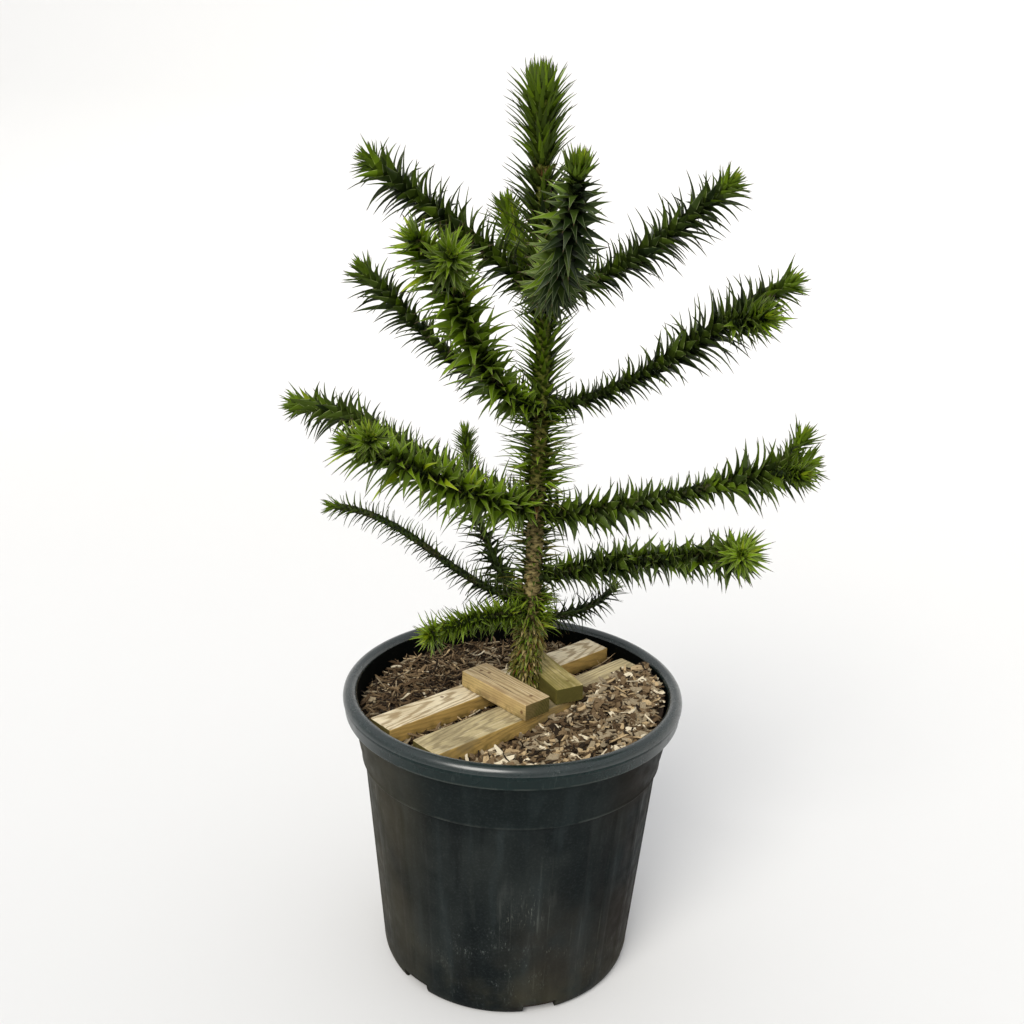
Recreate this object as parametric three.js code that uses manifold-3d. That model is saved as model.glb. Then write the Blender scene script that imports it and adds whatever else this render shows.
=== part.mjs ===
// A young monkey puzzle tree in a black nursery pot, with four wooden battens laid over its compost.
// Millimetres, +Z up. The origin is the centre of the pot's flat underside, and -Y is the front.
//
// The tree is a trunk, five whorls of boughs, and closed masses that hold the space of the stiff leaves:
// sleeves round the trunk between whorls, one mass along each bough, and one on each side shoot.
import * as THREE from "three";
import { mergeVertices } from "three/addons/utils/BufferGeometryUtils.js";
import Module from "manifold-3d";

const wasm = await Module();
wasm.setup();

// ---------------------------------------------------------------- driving dimensions

const GAP = 0.3; // clearance between touching pieces
const RIM_RADIUS = 225;
const POT_HEIGHT = 394;
const COMPOST_LEVEL = 361; // what the battens and the trunk stand on

const POT = {
  wall: 3.5,
  floor: 5,
  footRadius: 172.7,
  bodyRadius: 198.9, // at the band
  bandHeight: 300,
  collarRadius: 204,
  collarHeight: 318,
  rimDepth: 27,
  sides: 40,
};
// Six drainage channels run in under the base from notches in its edge.
const CHANNEL = { count: 6, first: -73.5, width: 44, height: 15, innerRadius: 112, roof: 3 };

const COMPOST = {
  radius: 201.5,
  wallGap: 1.2, // clear of the pot's flat-sided facets
  heap: 10,
  unevenness: 2.5,
  topRings: [1, 0.8, 0.58, 0.34, 0.14],
  sides: 28,
};

const BATTEN_THICKNESS = 23;
const BATTEN_TURN = 42.5; // plan direction of the two long battens
// across: distance of the centre line from the pot's axis, square to the batten's own direction
const LONG_BATTENS = [
  { name: "batten_rear", across: 32, width: 43, length: 388 },
  { name: "batten_front", across: -48.5, width: 48, length: 372 },
];
// The two short battens lie across the long ones, one on each side of the trunk.
const SHORT_BATTENS = [
  { name: "batten_short_left", x: -10.5, y: -30.5, turn: -47.5, width: 43, length: 126 },
  { name: "batten_short_right", x: 45, y: 20, turn: -62, width: 41, length: 126, mossy: true },
];

// The trunk's centre line and radius, from its flat cut at the compost to its growing tip.
const TRUNK = [
  { height: COMPOST_LEVEL, x: 14, y: 4, radius: 16.5 },
  { height: 378, x: 14, y: 4, radius: 14 },
  { height: 400, x: 15, y: 4, radius: 12.8 },
  { height: 460, x: 20, y: 4, radius: 12.2 },
  { height: 560, x: 22, y: 4, radius: 11.4 },
  { height: 700, x: 23, y: 4, radius: 10.4 },
  { height: 790, x: 24, y: 4, radius: 9.8 },
  { height: 920, x: 22, y: 4, radius: 8.8 },
  { height: 1080, x: 13, y: 4, radius: 6.4 },
  { height: 1150, x: 10, y: 4, radius: 3 },
];
const CROWN_TOP = 1173;
const TRUNK_SIDES = 14;
const TRUNK_RINGS = 15;
const FLARE = { lobes: 5, lobeDepth: 0.06, height: 40 };

// height: where a bough leaves the trunk; azimuth: its plan direction, from +X towards +Y; sweep: how far
// that turns by the tip; rise: its slope at foot, middle and tip; reach: how far leaf tips stand from its
// axis at six even places, narrow where a year's growth ends.
const BOUGHS = [
  {
    name: "top_left", height: 905, azimuth: 171, sweep: 0, rise: [37, 34, 35], length: 275,
    reach: [32, 40, 38, 38, 38, 33],
  },
  {
    name: "top_front", height: 908, azimuth: -82, sweep: -3, rise: [13, 35, 73], length: 289,
    reach: [34, 44, 44, 40, 36, 33],
  },
  {
    name: "top_back", height: 915, azimuth: 117, sweep: -2, rise: [14, 41, 74], length: 160,
    reach: [24, 30, 27, 30, 30, 26],
  },
  {
    name: "top_right", height: 905, azimuth: 8, sweep: 0, rise: [12, 36, 39], length: 279,
    reach: [28, 32, 38, 38, 34, 30],
  },
  {
    name: "upper_right", height: 771, azimuth: -7, sweep: 0, rise: [7, 36, 27], length: 351,
    reach: [24, 25, 30, 43, 38, 30],
  },
  {
    name: "upper_left", height: 778, azimuth: 165, sweep: 0, rise: [4, 38, 37], length: 299,
    reach: [28, 28, 23, 28, 34, 29],
  },
  {
    name: "upper_front", height: 772, azimuth: -136, sweep: 2, rise: [3, 61, 22], length: 320,
    reach: [28, 36, 42, 40, 42, 36],
  },
  {
    name: "middle_left", height: 642, azimuth: 164, sweep: -4, rise: [7, 23, -13], length: 374,
    reach: [26, 30, 24, 24, 36, 28],
  },
  {
    name: "middle_front", height: 640, azimuth: -124, sweep: -27, rise: [11, 28, 21], length: 334,
    reach: [26, 34, 38, 40, 38, 34],
  },
  {
    name: "middle_right", height: 630, azimuth: -7, sweep: 0, rise: [4, 18, 14], length: 362,
    reach: [27, 36, 33, 28, 44, 38],
  },
  {
    name: "lower_left", height: 510, azimuth: 175, sweep: 2, rise: [3, 35, -14], length: 311,
    reach: [24, 24, 18, 19, 20, 20],
  },
  {
    name: "lower_back", height: 500, azimuth: 115, sweep: -2, rise: [-4, 38, 82], length: 346,
    reach: [28, 34, 32, 32, 34, 30],
  },
  {
    name: "lower_right", height: 538, azimuth: -16, sweep: -38, rise: [27, 17, 24], length: 334,
    reach: [26, 32, 29, 26, 28, 42],
  },
  {
    name: "foot_back", height: 478, azimuth: 44, sweep: -1, rise: [0, 0, 49], length: 184,
    reach: [20, 24, 24, 25, 25, 22],
  },
  {
    name: "foot_front", height: 495, azimuth: -148, sweep: 1, rise: [8, -2, -13], length: 172,
    reach: [24, 26, 25, 24, 22, 20],
  },
];

// A side shoot leaves its bough at a share of the bough's length, turned away from it by an angle.
const SIDE_SHOOTS = [
  {
    name: "upper_right_shoot", bough: "upper_right", at: 0.68, turn: -48, rise: 16, length: 90,
    reach: [20, 24, 23],
  },
  {
    name: "upper_front_shoot", bough: "upper_front", at: 0.76, turn: 55, rise: 22, length: 88,
    reach: [24, 32, 30],
  },
  {
    name: "middle_right_shoot", bough: "middle_right", at: 0.84, turn: 25, rise: 52, length: 66,
    reach: [18, 20, 18],
  },
  {
    name: "middle_right_spur", bough: "middle_right", at: 0.82, turn: -50, rise: 10, length: 66,
    reach: [20, 24, 22],
  },
  {
    name: "middle_front_shoot", bough: "middle_front", at: 0.86, turn: 62, rise: 30, length: 66,
    reach: [20, 24, 22],
  },
];

const LIMB = { footRadius: 6, endRadius: 4.8, sides: 7, length: 32 };
const SHOOT_FOLIAGE_START = 8; // how far out along a side shoot its leaves begin

// A mass starts narrow round its limb and flares out to the leaves' reach. It hangs lower than it stands up,
// most of all near the trunk, and it closes over the last of the bough.
const MASS = {
  startRadius: 10,
  flare: 0.85,
  droop: 0.2,
  closingShare: 0.12,
  tipNarrowing: 0.5,
  lastRingShare: 0.96,
  sides: 9,
  ringStep: 29,
};
const UNEVENNESS = 0.06; // share by which the surface of the foliage rises and falls

// Sleeves of leaves on the trunk: bottom and top height, and how far the leaf tips stand from its axis.
const SLEEVES = [
  { name: "trunk_foliage_foot", from: 409, to: 470, reach: 30 },
  { name: "trunk_foliage_lower", from: 550, to: 624, reach: 33 },
  { name: "trunk_foliage_middle", from: 648, to: 765, reach: 42 },
  { name: "trunk_foliage_upper", from: 782, to: 899, reach: 31 },
];
// The leader's leaves draw in a little where last year's growth ended.
const LEADER = { from: 920, reach: 36, yearEnd: 1056, yearEndDepth: 0.14, closingFrom: 1120 };
const SLEEVE_SIDES = 12;
const SLEEVE_RING_STEP = 28;

// ---------------------------------------------------------------- small helpers

const radians = THREE.MathUtils.degToRad;
const vector = (x, y, z) => new THREE.Vector3(x, y, z);

// A repeatable number from -1 to 1 for a pair of whole numbers.
function unevenness(a, b) {
  const s = Math.sin(a * 12.9898 + b * 78.233) * 43758.5453;
  return 2 * (s - Math.floor(s)) - 1;
}

// The value of a smooth curve through three evenly spaced values, at share t.
function throughThree([first, middle, last], t) {
  return first * (1 - t) * (1 - 2 * t) + 4 * middle * t * (1 - t) + last * t * (2 * t - 1);
}

// The value at share t of a run of evenly spaced values. Its end values carry on past its ends.
function along(values, t) {
  const place = THREE.MathUtils.clamp(t, 0, 1) * (values.length - 1);
  const k = Math.min(values.length - 2, Math.floor(place));
  const share = THREE.MathUtils.smoothstep(place - k, 0, 1);
  return values[k] + share * (values[k + 1] - values[k]);
}

// A closed surface through rings of points, with a centre point on each end.
function loft(rings, startCentre, endCentre) {
  const sides = rings[0].length;
  const points = [...rings.flat(), startCentre, endCentre];
  const start = points.length - 2;
  const end = points.length - 1;
  const last = (rings.length - 1) * sides;
  const index = [];
  for (let i = 0; i < sides; i++) {
    const next = (i + 1) % sides;
    index.push(start, next, i, end, last + i, last + next);
    for (let k = 0; k < last; k += sides) {
      index.push(k + i, k + next, k + sides + next, k + i, k + sides + next, k + sides + i);
    }
  }
  const geometry = new THREE.BufferGeometry().setFromPoints(points);
  geometry.setIndex(index);
  return geometry;
}

function toSolid(geometry) {
  const bare = geometry.clone();
  bare.deleteAttribute("normal");
  bare.deleteAttribute("uv");
  const merged = mergeVertices(bare, 1e-3);
  return new wasm.Manifold(
    new wasm.Mesh({
      numProp: 3,
      vertProperties: merged.attributes.position.array,
      triVerts: new Uint32Array(merged.index.array),
    }),
  );
}

function toGeometry(solid) {
  const mesh = solid.getMesh();
  const geometry = new THREE.BufferGeometry();
  geometry.setAttribute("position", new THREE.BufferAttribute(mesh.vertProperties, mesh.numProp));
  geometry.setIndex(new THREE.BufferAttribute(mesh.triVerts, 1));
  return geometry;
}

// What is left of a solid round the others, without any loose offcut.
function cutRound(solid, others) {
  let left = solid;
  for (const other of others) {
    if (left.intersect(other).volume() > 0) left = left.subtract(other);
  }
  return left.decompose().sort((a, b) => b.volume() - a.volume())[0];
}

const root = new THREE.Group();

function addMesh(name, geometry, look) {
  geometry.computeVertexNormals();
  const mesh = new THREE.Mesh(geometry, look);
  mesh.name = name;
  root.add(mesh);
}

const look = (color, roughness) => new THREE.MeshStandardMaterial({ color, roughness, metalness: 0 });
const LOOKS = {
  pot: look(0x2c3130, 0.55),
  compost: look(0x5a4a3a, 0.95),
  palePine: look(0xc8af82, 0.8),
  mossyPine: look(0x8a8a52, 0.85),
  bark: look(0x6f5f42, 0.9),
  leaves: look(0x2f5a1e, 0.6),
  tipLeaves: look(0x4f8a24, 0.55),
};

// ---------------------------------------------------------------- pot, compost and battens

// Outer and inner radius of the pot's wall, by height, from the base corner up to the rolled rim.
const POT_OUTSIDE = [
  [POT.footRadius - 9, 0],
  [POT.footRadius - 4, 4],
  [POT.footRadius, 16],
  [POT.bodyRadius, POT.bandHeight],
  [POT.collarRadius, POT.collarHeight],
  [RIM_RADIUS - 12, POT_HEIGHT - POT.rimDepth - 1],
  [RIM_RADIUS - 4, POT_HEIGHT - POT.rimDepth + 2],
  [RIM_RADIUS, POT_HEIGHT - 17],
  [RIM_RADIUS, POT_HEIGHT - 8],
  [RIM_RADIUS - 4, POT_HEIGHT - 2],
  [RIM_RADIUS - 10, POT_HEIGHT],
];
const POT_INSIDE = [
  [RIM_RADIUS - 16, POT_HEIGHT - 3],
  [RIM_RADIUS - 19, POT_HEIGHT - 12],
  [RIM_RADIUS - 21.5, COMPOST_LEVEL],
  [POT.collarRadius - POT.wall, POT.collarHeight],
  [POT.bodyRadius - POT.wall, POT.bandHeight],
  [POT.footRadius - POT.wall, 16],
  [POT.footRadius - 4 - POT.wall, POT.floor],
];

function insideRadiusAt(height) {
  const k = POT_INSIDE.findIndex(([, z]) => z <= height);
  const [upper, lower] = [POT_INSIDE[Math.max(k - 1, 0)], POT_INSIDE[k]];
  const share = (height - lower[1]) / (upper[1] - lower[1] || 1);
  return lower[0] + share * (upper[0] - lower[0]);
}

// A box along each drainage channel, grown sideways and upwards.
function channelBoxes(outerRadius, grow) {
  return Array.from({ length: CHANNEL.count }, (_, k) => {
    const length = outerRadius - CHANNEL.innerRadius + grow;
    const box = new THREE.BoxGeometry(length, CHANNEL.width + 2 * grow, 2 * (CHANNEL.height + grow));
    box.translate(outerRadius - length / 2, 0, 0);
    box.rotateZ(radians(CHANNEL.first + (k * 360) / CHANNEL.count));
    return toSolid(box);
  });
}

function buildPot() {
  const turned = (profile) => {
    const shell = new THREE.LatheGeometry(
      profile.map(([r, z]) => new THREE.Vector2(r, z)),
      POT.sides,
    );
    return toSolid(shell.rotateX(Math.PI / 2)); // the lathe's axis becomes +Z
  };
  let pot = turned([[0, 0], ...POT_OUTSIDE, ...POT_INSIDE, [0, POT.floor]]);
  for (const roof of channelBoxes(POT.footRadius - 2 * POT.wall, CHANNEL.roof)) {
    pot = pot.add(roof.trimByPlane([0, 0, 1], POT.floor / 2));
  }
  for (const channel of channelBoxes(POT.bodyRadius, 0)) pot = pot.subtract(channel);
  return pot;
}

// The compost's top: level in the middle, uneven further out, and heaped up towards the right-hand wall.
function compostHeight(x, y) {
  const share = Math.hypot(x, y) / COMPOST.radius;
  const towardsHeap = Math.max(0, (0.9 * x - 0.25 * y) / COMPOST.radius);
  const lump = COMPOST.unevenness * unevenness(Math.round(x), Math.round(y));
  return COMPOST_LEVEL - GAP + share * (COMPOST.heap * towardsHeap + lump);
}

function buildCompost(obstacles) {
  const bottom = POT.floor + GAP;
  const wallHeights = [bottom, 16, POT.bandHeight, POT.collarHeight];
  const ring = (radius, heightAt) =>
    Array.from({ length: COMPOST.sides }, (_, i) => {
      const a = (2 * Math.PI * i) / COMPOST.sides;
      const [x, y] = [radius * Math.cos(a), radius * Math.sin(a)];
      return vector(x, y, heightAt(x, y));
    });
  const rings = [
    ...wallHeights.map((z) => ring(insideRadiusAt(z) - COMPOST.wallGap, () => z)),
    ...COMPOST.topRings.map((share) => ring(share * COMPOST.radius, compostHeight)),
  ];
  const body = loft(rings, vector(0, 0, bottom), vector(0, 0, COMPOST_LEVEL - GAP));
  return cutRound(toSolid(body), obstacles);
}

function buildBatten({ x, y, turn, width, length }, bottom, grow = 0) {
  const bar = new THREE.BoxGeometry(length + 2 * grow, width + 2 * grow, BATTEN_THICKNESS + 2 * grow);
  bar.translate(0, 0, bottom + BATTEN_THICKNESS / 2);
  bar.rotateZ(radians(turn));
  bar.translate(x, y, 0);
  return bar;
}

// ---------------------------------------------------------------- trunk, boughs and foliage

function trunkAt(height) {
  const k = Math.max(1, TRUNK.findIndex((p) => p.height >= height));
  const [low, high] = [TRUNK[k - 1], TRUNK[k]];
  const share = (height - low.height) / (high.height - low.height);
  const mix = (key) => low[key] + share * (high[key] - low[key]);
  return { centre: vector(mix("x"), mix("y"), height), radius: mix("radius") };
}

function levelRing({ x, y }, height, radiusAt, sides) {
  return Array.from({ length: sides }, (_, i) => {
    const a = (2 * Math.PI * i) / sides;
    const r = radiusAt(a, i);
    return vector(x + r * Math.cos(a), y + r * Math.sin(a), height);
  });
}

// The trunk's rings stand closest at its foot, where the root flare swells in a few lobes that die out a
// little above the compost.
function buildTrunk(grow = 0) {
  const top = TRUNK.at(-1).height;
  const rings = [];
  for (let k = 0; k <= TRUNK_RINGS; k++) {
    const height = COMPOST_LEVEL + (top - COMPOST_LEVEL) * (k / TRUNK_RINGS) ** 1.6;
    const { centre, radius } = trunkAt(height);
    const depth = FLARE.lobeDepth * Math.max(0, 1 - (height - COMPOST_LEVEL) / FLARE.height);
    const radiusAt = (a) => radius * (1 - depth * (1 - Math.cos(FLARE.lobes * a))) + grow;
    rings.push(levelRing(centre, height, radiusAt, TRUNK_SIDES));
  }
  return loft(rings, trunkAt(COMPOST_LEVEL).centre, trunkAt(top).centre.add(vector(0, 0, grow)));
}

// A bough's or shoot's axis: a place and three square directions at each of a run of even steps.
function makeAxis({ start, azimuth, sweep = 0, rise, length }) {
  const steps = 48;
  const stations = [];
  const place = start.clone();
  for (let i = 0; i <= steps; i++) {
    const t = i / steps;
    const slope = radians(Array.isArray(rise) ? throughThree(rise, t) : rise);
    const heading = radians(azimuth + sweep * t);
    const flat = vector(Math.cos(heading), Math.sin(heading), 0);
    const ahead = flat.clone().multiplyScalar(Math.cos(slope)).add(vector(0, 0, Math.sin(slope)));
    const side = vector(-Math.sin(heading), Math.cos(heading), 0);
    stations.push({ place: place.clone(), ahead, side, up: ahead.clone().cross(side), heading });
    place.addScaledVector(ahead, length / steps);
  }
  const stationAt = (t) => {
    const i = Math.min(steps, Math.max(0, t * steps));
    const k = Math.min(steps - 1, Math.floor(i));
    const place = stations[k].place.clone().lerp(stations[k + 1].place, i - k);
    return { ...stations[Math.round(i)], place };
  };
  return { length, stationAt };
}

function ringAt({ place, side, up }, radiusAt, sides) {
  return Array.from({ length: sides }, (_, i) => {
    const a = (2 * Math.PI * i) / sides;
    const r = radiusAt(a, i);
    return place
      .clone()
      .addScaledVector(side, r * Math.cos(a))
      .addScaledVector(up, r * Math.sin(a));
  });
}

// The woody part of a bough that shows between the trunk and its leaves.
function buildLimb(axis, grow = 0) {
  const shares = [0, 0.35, 0.7, 1].map((s) => (s * (LIMB.length - GAP + grow)) / axis.length);
  const rings = shares.map((t) => {
    const taper = (t * axis.length) / LIMB.length;
    const radius = LIMB.footRadius + taper * (LIMB.endRadius - LIMB.footRadius) + grow;
    return ringAt(axis.stationAt(t), () => radius, LIMB.sides);
  });
  return loft(rings, axis.stationAt(0).place, axis.stationAt(shares.at(-1)).place);
}

// How far the leaves reach at arc length s along an axis whose foliage starts at arc length from.
function leafReach({ reach, length }, s, from) {
  const t = s / length;
  const closing = Math.max(0, 1 - (1 - t) / MASS.closingShare);
  const full = along(reach, (t - 0.1) / 0.8) * (1 - MASS.tipNarrowing * closing ** 2);
  return Math.min(full, MASS.startRadius + MASS.flare * (s - from));
}

function buildMass(piece, axis, from, seed, grow = 0) {
  const count = Math.max(3, Math.round((axis.length - from) / MASS.ringStep));
  const first = (from - grow) / axis.length;
  const rings = [];
  for (let k = 0; k <= count; k++) {
    const t = first + (k / count) * (MASS.lastRingShare - first);
    const radius = leafReach(piece, t * axis.length, from - grow);
    const droop = MASS.droop * (1 - t);
    const radiusAt = (a, i) =>
      radius * (1 + UNEVENNESS * unevenness(seed + i, k) - droop * Math.sin(a)) + grow;
    rings.push(ringAt(axis.stationAt(t), radiusAt, MASS.sides));
  }
  const tip = axis.stationAt(1);
  return loft(rings, axis.stationAt(first).place, tip.place.addScaledVector(tip.ahead, grow));
}

// A sleeve swells between its ends.
function buildSleeve({ from, to, reach }, seed) {
  const count = Math.round((to - from) / SLEEVE_RING_STEP) + 1;
  const rings = [];
  for (let k = 0; k <= count; k++) {
    const share = k / count;
    const height = from + share * (to - from);
    const swell = 0.58 + 0.42 * Math.sin(Math.PI * (0.15 + 0.75 * share));
    const radiusAt = (a, i) => reach * swell * (1 + UNEVENNESS * unevenness(seed + i, k));
    rings.push(levelRing(trunkAt(height).centre, height, radiusAt, SLEEVE_SIDES));
  }
  return loft(rings, trunkAt(from).centre, trunkAt(to).centre);
}

// The leader's leaves open out above the last whorl and close over the trunk's tip.
function buildLeader(seed) {
  const trunkTop = TRUNK.at(-1).height;
  const last = CROWN_TOP - 8;
  const count = Math.round((last - LEADER.from) / SLEEVE_RING_STEP) + 1;
  const rings = [];
  for (let k = 0; k <= count; k++) {
    const height = LEADER.from + (k / count) * (last - LEADER.from);
    const opening = Math.min(1, 0.62 + (height - LEADER.from) / 90);
    const yearEnd = LEADER.yearEndDepth * Math.exp(-(((height - LEADER.yearEnd) / 16) ** 2));
    const closing = Math.max(0, (height - LEADER.closingFrom) / (CROWN_TOP - LEADER.closingFrom));
    const radius = LEADER.reach * opening * (1 - yearEnd) * (1 - 0.55 * closing ** 2);
    const radiusAt = (a, i) => radius * (1 + UNEVENNESS * unevenness(seed + i, k));
    const { centre } = trunkAt(Math.min(height, trunkTop));
    rings.push(levelRing(centre, height, radiusAt, SLEEVE_SIDES));
  }
  const top = trunkAt(trunkTop).centre.setZ(CROWN_TOP);
  return loft(rings, trunkAt(LEADER.from).centre, top);
}

// ---------------------------------------------------------------- assembly

addMesh("pot", toGeometry(buildPot()), LOOKS.pot);
const channelCutters = channelBoxes(POT.footRadius, CHANNEL.roof + GAP);

const battenCutters = [];
for (const { name, across, width, length } of LONG_BATTENS) {
  const x = -across * Math.sin(radians(BATTEN_TURN));
  const y = across * Math.cos(radians(BATTEN_TURN));
  const bar = { x, y, turn: BATTEN_TURN, width, length };
  addMesh(name, buildBatten(bar, COMPOST_LEVEL), LOOKS.palePine);
  battenCutters.push(toSolid(buildBatten(bar, COMPOST_LEVEL, GAP)));
}
for (const bar of SHORT_BATTENS) {
  const wood = bar.mossy ? LOOKS.mossyPine : LOOKS.palePine;
  addMesh(bar.name, buildBatten(bar, COMPOST_LEVEL + BATTEN_THICKNESS + GAP), wood);
}

const trunkCutter = toSolid(buildTrunk(GAP));
const compost = buildCompost([trunkCutter, ...battenCutters, ...channelCutters]);
addMesh("bark_mulch", toGeometry(compost), LOOKS.compost);
addMesh("trunk", buildTrunk(), LOOKS.bark);

// Each limb and mass is cut round what was built before it, so that no two of them overlap.
const limbCutters = [trunkCutter];
const massCutters = [];

function addMass(piece, axis, from, seed, material) {
  const mass = cutRound(toSolid(buildMass(piece, axis, from, seed)), massCutters);
  addMesh("foliage_" + piece.name, toGeometry(mass), material);
  massCutters.push(toSolid(buildMass(piece, axis, from, seed, GAP)));
}

const axes = new Map();
BOUGHS.forEach((bough, n) => {
  const axis = makeAxis({ ...bough, start: trunkAt(bough.height).centre });
  axes.set(bough.name, axis);
  const limb = cutRound(toSolid(buildLimb(axis)), limbCutters);
  addMesh("bough_" + bough.name, toGeometry(limb), LOOKS.bark);
  limbCutters.push(toSolid(buildLimb(axis, GAP)));
  addMass(bough, axis, LIMB.length, 40 * n, LOOKS.leaves);
});

SIDE_SHOOTS.forEach((shoot, n) => {
  const { place, heading } = axes.get(shoot.bough).stationAt(shoot.at);
  const azimuth = THREE.MathUtils.radToDeg(heading) + shoot.turn;
  const axis = makeAxis({ ...shoot, start: place, azimuth });
  addMass(shoot, axis, SHOOT_FOLIAGE_START, 700 + 40 * n, LOOKS.tipLeaves);
});

const roundTrunk = [...limbCutters, ...massCutters];
SLEEVES.forEach((sleeve, n) => {
  const solid = cutRound(toSolid(buildSleeve(sleeve, 1000 + 20 * n)), roundTrunk);
  addMesh(sleeve.name, toGeometry(solid), LOOKS.leaves);
});
const leader = cutRound(toSolid(buildLeader(1200)), roundTrunk);
addMesh("trunk_foliage_leader", toGeometry(leader), LOOKS.tipLeaves);

export default root;
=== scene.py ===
"""A young monkey puzzle tree in a black nursery pot, with four wooden battens laid over its mulch.

Lengths are in millimetres and angles in degrees until a mesh is made, with +Z up, the origin at the
centre of the pot's underside and -Y at the front. Every piece made here stands for the nodes of the
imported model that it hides, and fills the space that they hold.
"""

import math

import bpy
import numpy as np
from mathutils import Matrix, Vector


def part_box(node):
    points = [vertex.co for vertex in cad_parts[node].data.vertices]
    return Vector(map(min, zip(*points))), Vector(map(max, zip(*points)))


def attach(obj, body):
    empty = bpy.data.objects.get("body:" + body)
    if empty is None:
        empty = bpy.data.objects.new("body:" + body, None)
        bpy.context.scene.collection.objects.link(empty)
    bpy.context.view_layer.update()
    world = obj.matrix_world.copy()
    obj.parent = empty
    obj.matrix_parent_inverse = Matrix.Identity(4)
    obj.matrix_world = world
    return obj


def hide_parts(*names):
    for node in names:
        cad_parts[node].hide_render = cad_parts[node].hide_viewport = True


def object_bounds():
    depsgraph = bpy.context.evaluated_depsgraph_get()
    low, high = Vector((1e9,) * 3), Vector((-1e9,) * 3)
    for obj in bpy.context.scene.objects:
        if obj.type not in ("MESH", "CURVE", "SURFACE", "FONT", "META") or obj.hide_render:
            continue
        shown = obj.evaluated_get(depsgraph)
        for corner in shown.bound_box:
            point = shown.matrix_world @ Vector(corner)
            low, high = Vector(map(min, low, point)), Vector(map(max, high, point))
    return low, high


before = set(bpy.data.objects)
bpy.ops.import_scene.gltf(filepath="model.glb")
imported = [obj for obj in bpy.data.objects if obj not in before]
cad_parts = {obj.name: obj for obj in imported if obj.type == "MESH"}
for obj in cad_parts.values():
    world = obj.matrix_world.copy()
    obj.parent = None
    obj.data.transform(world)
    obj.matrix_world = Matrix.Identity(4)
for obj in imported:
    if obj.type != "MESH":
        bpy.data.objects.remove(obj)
cad_low, cad_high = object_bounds()
scene = bpy.context.scene

MM = 0.001
BODY = "root"

# ---- driving dimensions

_, pot_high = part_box("pot")
RIM_RADIUS = pot_high.x / MM
POT_HEIGHT = pot_high.z / MM
COMPOST_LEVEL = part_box("trunk")[0].z / MM
TREE_TOP = cad_high.z / MM

POT_WALL = 3.5
POT_FLOOR = 5
FOOT_RADIUS = 172.7
BODY_RADIUS = 198.9  # at the band
BAND_HEIGHT = 299
COLLAR_RADIUS = 204
COLLAR_HEIGHT = 318
RIM_DEPTH = 30
POT_SIDES = 480
PANELS = 24  # shallow panels round the pot's wall, with a narrow rib between each two
PANEL_SHARE = 0.72
PANEL_DEPTH = 1.3
PANEL_RIM = math.pi / PANELS * (1 - PANEL_SHARE)  # half the angle that a rib takes up
CHANNEL = {"count": 6, "first": -73.5, "width": 44, "height": 15, "inner": 112, "roof": 3}
# The scuffed place low on the front of the pot, and each scratch there: its middle and half its width
POT_SCUFF = (-20, -186, 70)
POT_SCRATCHES = [
    ((-38, -184, 66), 1.2), ((-12, -187, 84), 0.9), ((12, -186, 56), 1.4), ((-60, -180, 44), 1),
]

BATTEN_TURN = 42.5
# name: plan direction, length, width, finish
BATTENS = {
    "batten_rear": (BATTEN_TURN, 388, 43, "pale_pine"),
    "batten_front": (BATTEN_TURN, 372, 48, "pale_pine"),
    "batten_short_left": (-47.5, 126, 43, "pale_pine"),
    "batten_short_right": (-62, 126, 41, "mossy_pine"),
}
BATTEN_THICKNESS = 23

# The trunk's centre line and radius, from its flat cut at the compost to its growing tip.
TRUNK_HEIGHT = [361, 378, 400, 460, 560, 700, 790, 920, 1080, 1150]
TRUNK_X = [14, 14, 15, 20, 22, 23, 24, 22, 13, 10]
TRUNK_Y = 4
TRUNK_RADIUS = [16.5, 14, 12.8, 12.2, 11.4, 10.4, 9.8, 8.8, 6.4, 3]

# name: height on the trunk, plan direction, sweep, slope at foot, middle and tip, length, how far leaf
# tips stand from the axis at six even places, and how fresh its green is
BOUGHS = {
    "top_left": (905, 171, 0, (37, 34, 35), 275, (32, 40, 38, 38, 38, 33), 0.2),
    "top_front": (908, -82, -3, (13, 35, 73), 289, (36, 44, 46, 45, 43, 39), -0.35),
    "top_back": (915, 117, -2, (14, 41, 74), 160, (26, 30, 28, 30, 30, 26), 1.05),
    "top_right": (905, 8, 0, (12, 36, 39), 279, (28, 32, 38, 38, 34, 30), -0.1),
    "upper_right": (771, -7, 0, (7, 36, 27), 351, (24, 25, 30, 43, 38, 30), 0),
    "upper_left": (778, 165, 0, (4, 38, 37), 299, (28, 28, 23, 28, 34, 29), 0.15),
    "upper_front": (772, -136, 2, (3, 61, 22), 320, (28, 36, 42, 40, 42, 36), 0.9),
    "middle_left": (642, 164, -4, (7, 23, -13), 374, (26, 30, 24, 24, 36, 28), 0.15),
    "middle_front": (640, -124, -27, (11, 28, 21), 334, (34, 38, 38, 40, 38, 34), 0.9),
    "middle_right": (630, -7, 0, (4, 18, 14), 362, (30, 34, 25, 22, 40, 33), 0.25),
    "lower_left": (510, 175, 2, (3, 35, -14), 311, (24, 24, 18, 19, 20, 20), 0.15),
    "lower_back": (500, 115, -2, (-4, 38, 82), 346, (28, 34, 32, 32, 34, 30), -0.2),
    "lower_right": (538, -16, -38, (27, 17, 24), 334, (26, 32, 29, 26, 28, 42), 0.2),
    "foot_back": (478, 44, -1, (0, 0, 49), 184, (20, 24, 24, 25, 25, 22), -0.5),
    "foot_front": (495, -148, 1, (8, -2, -13), 172, (30, 30, 28, 26, 24, 24), 0.8),
}
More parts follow.
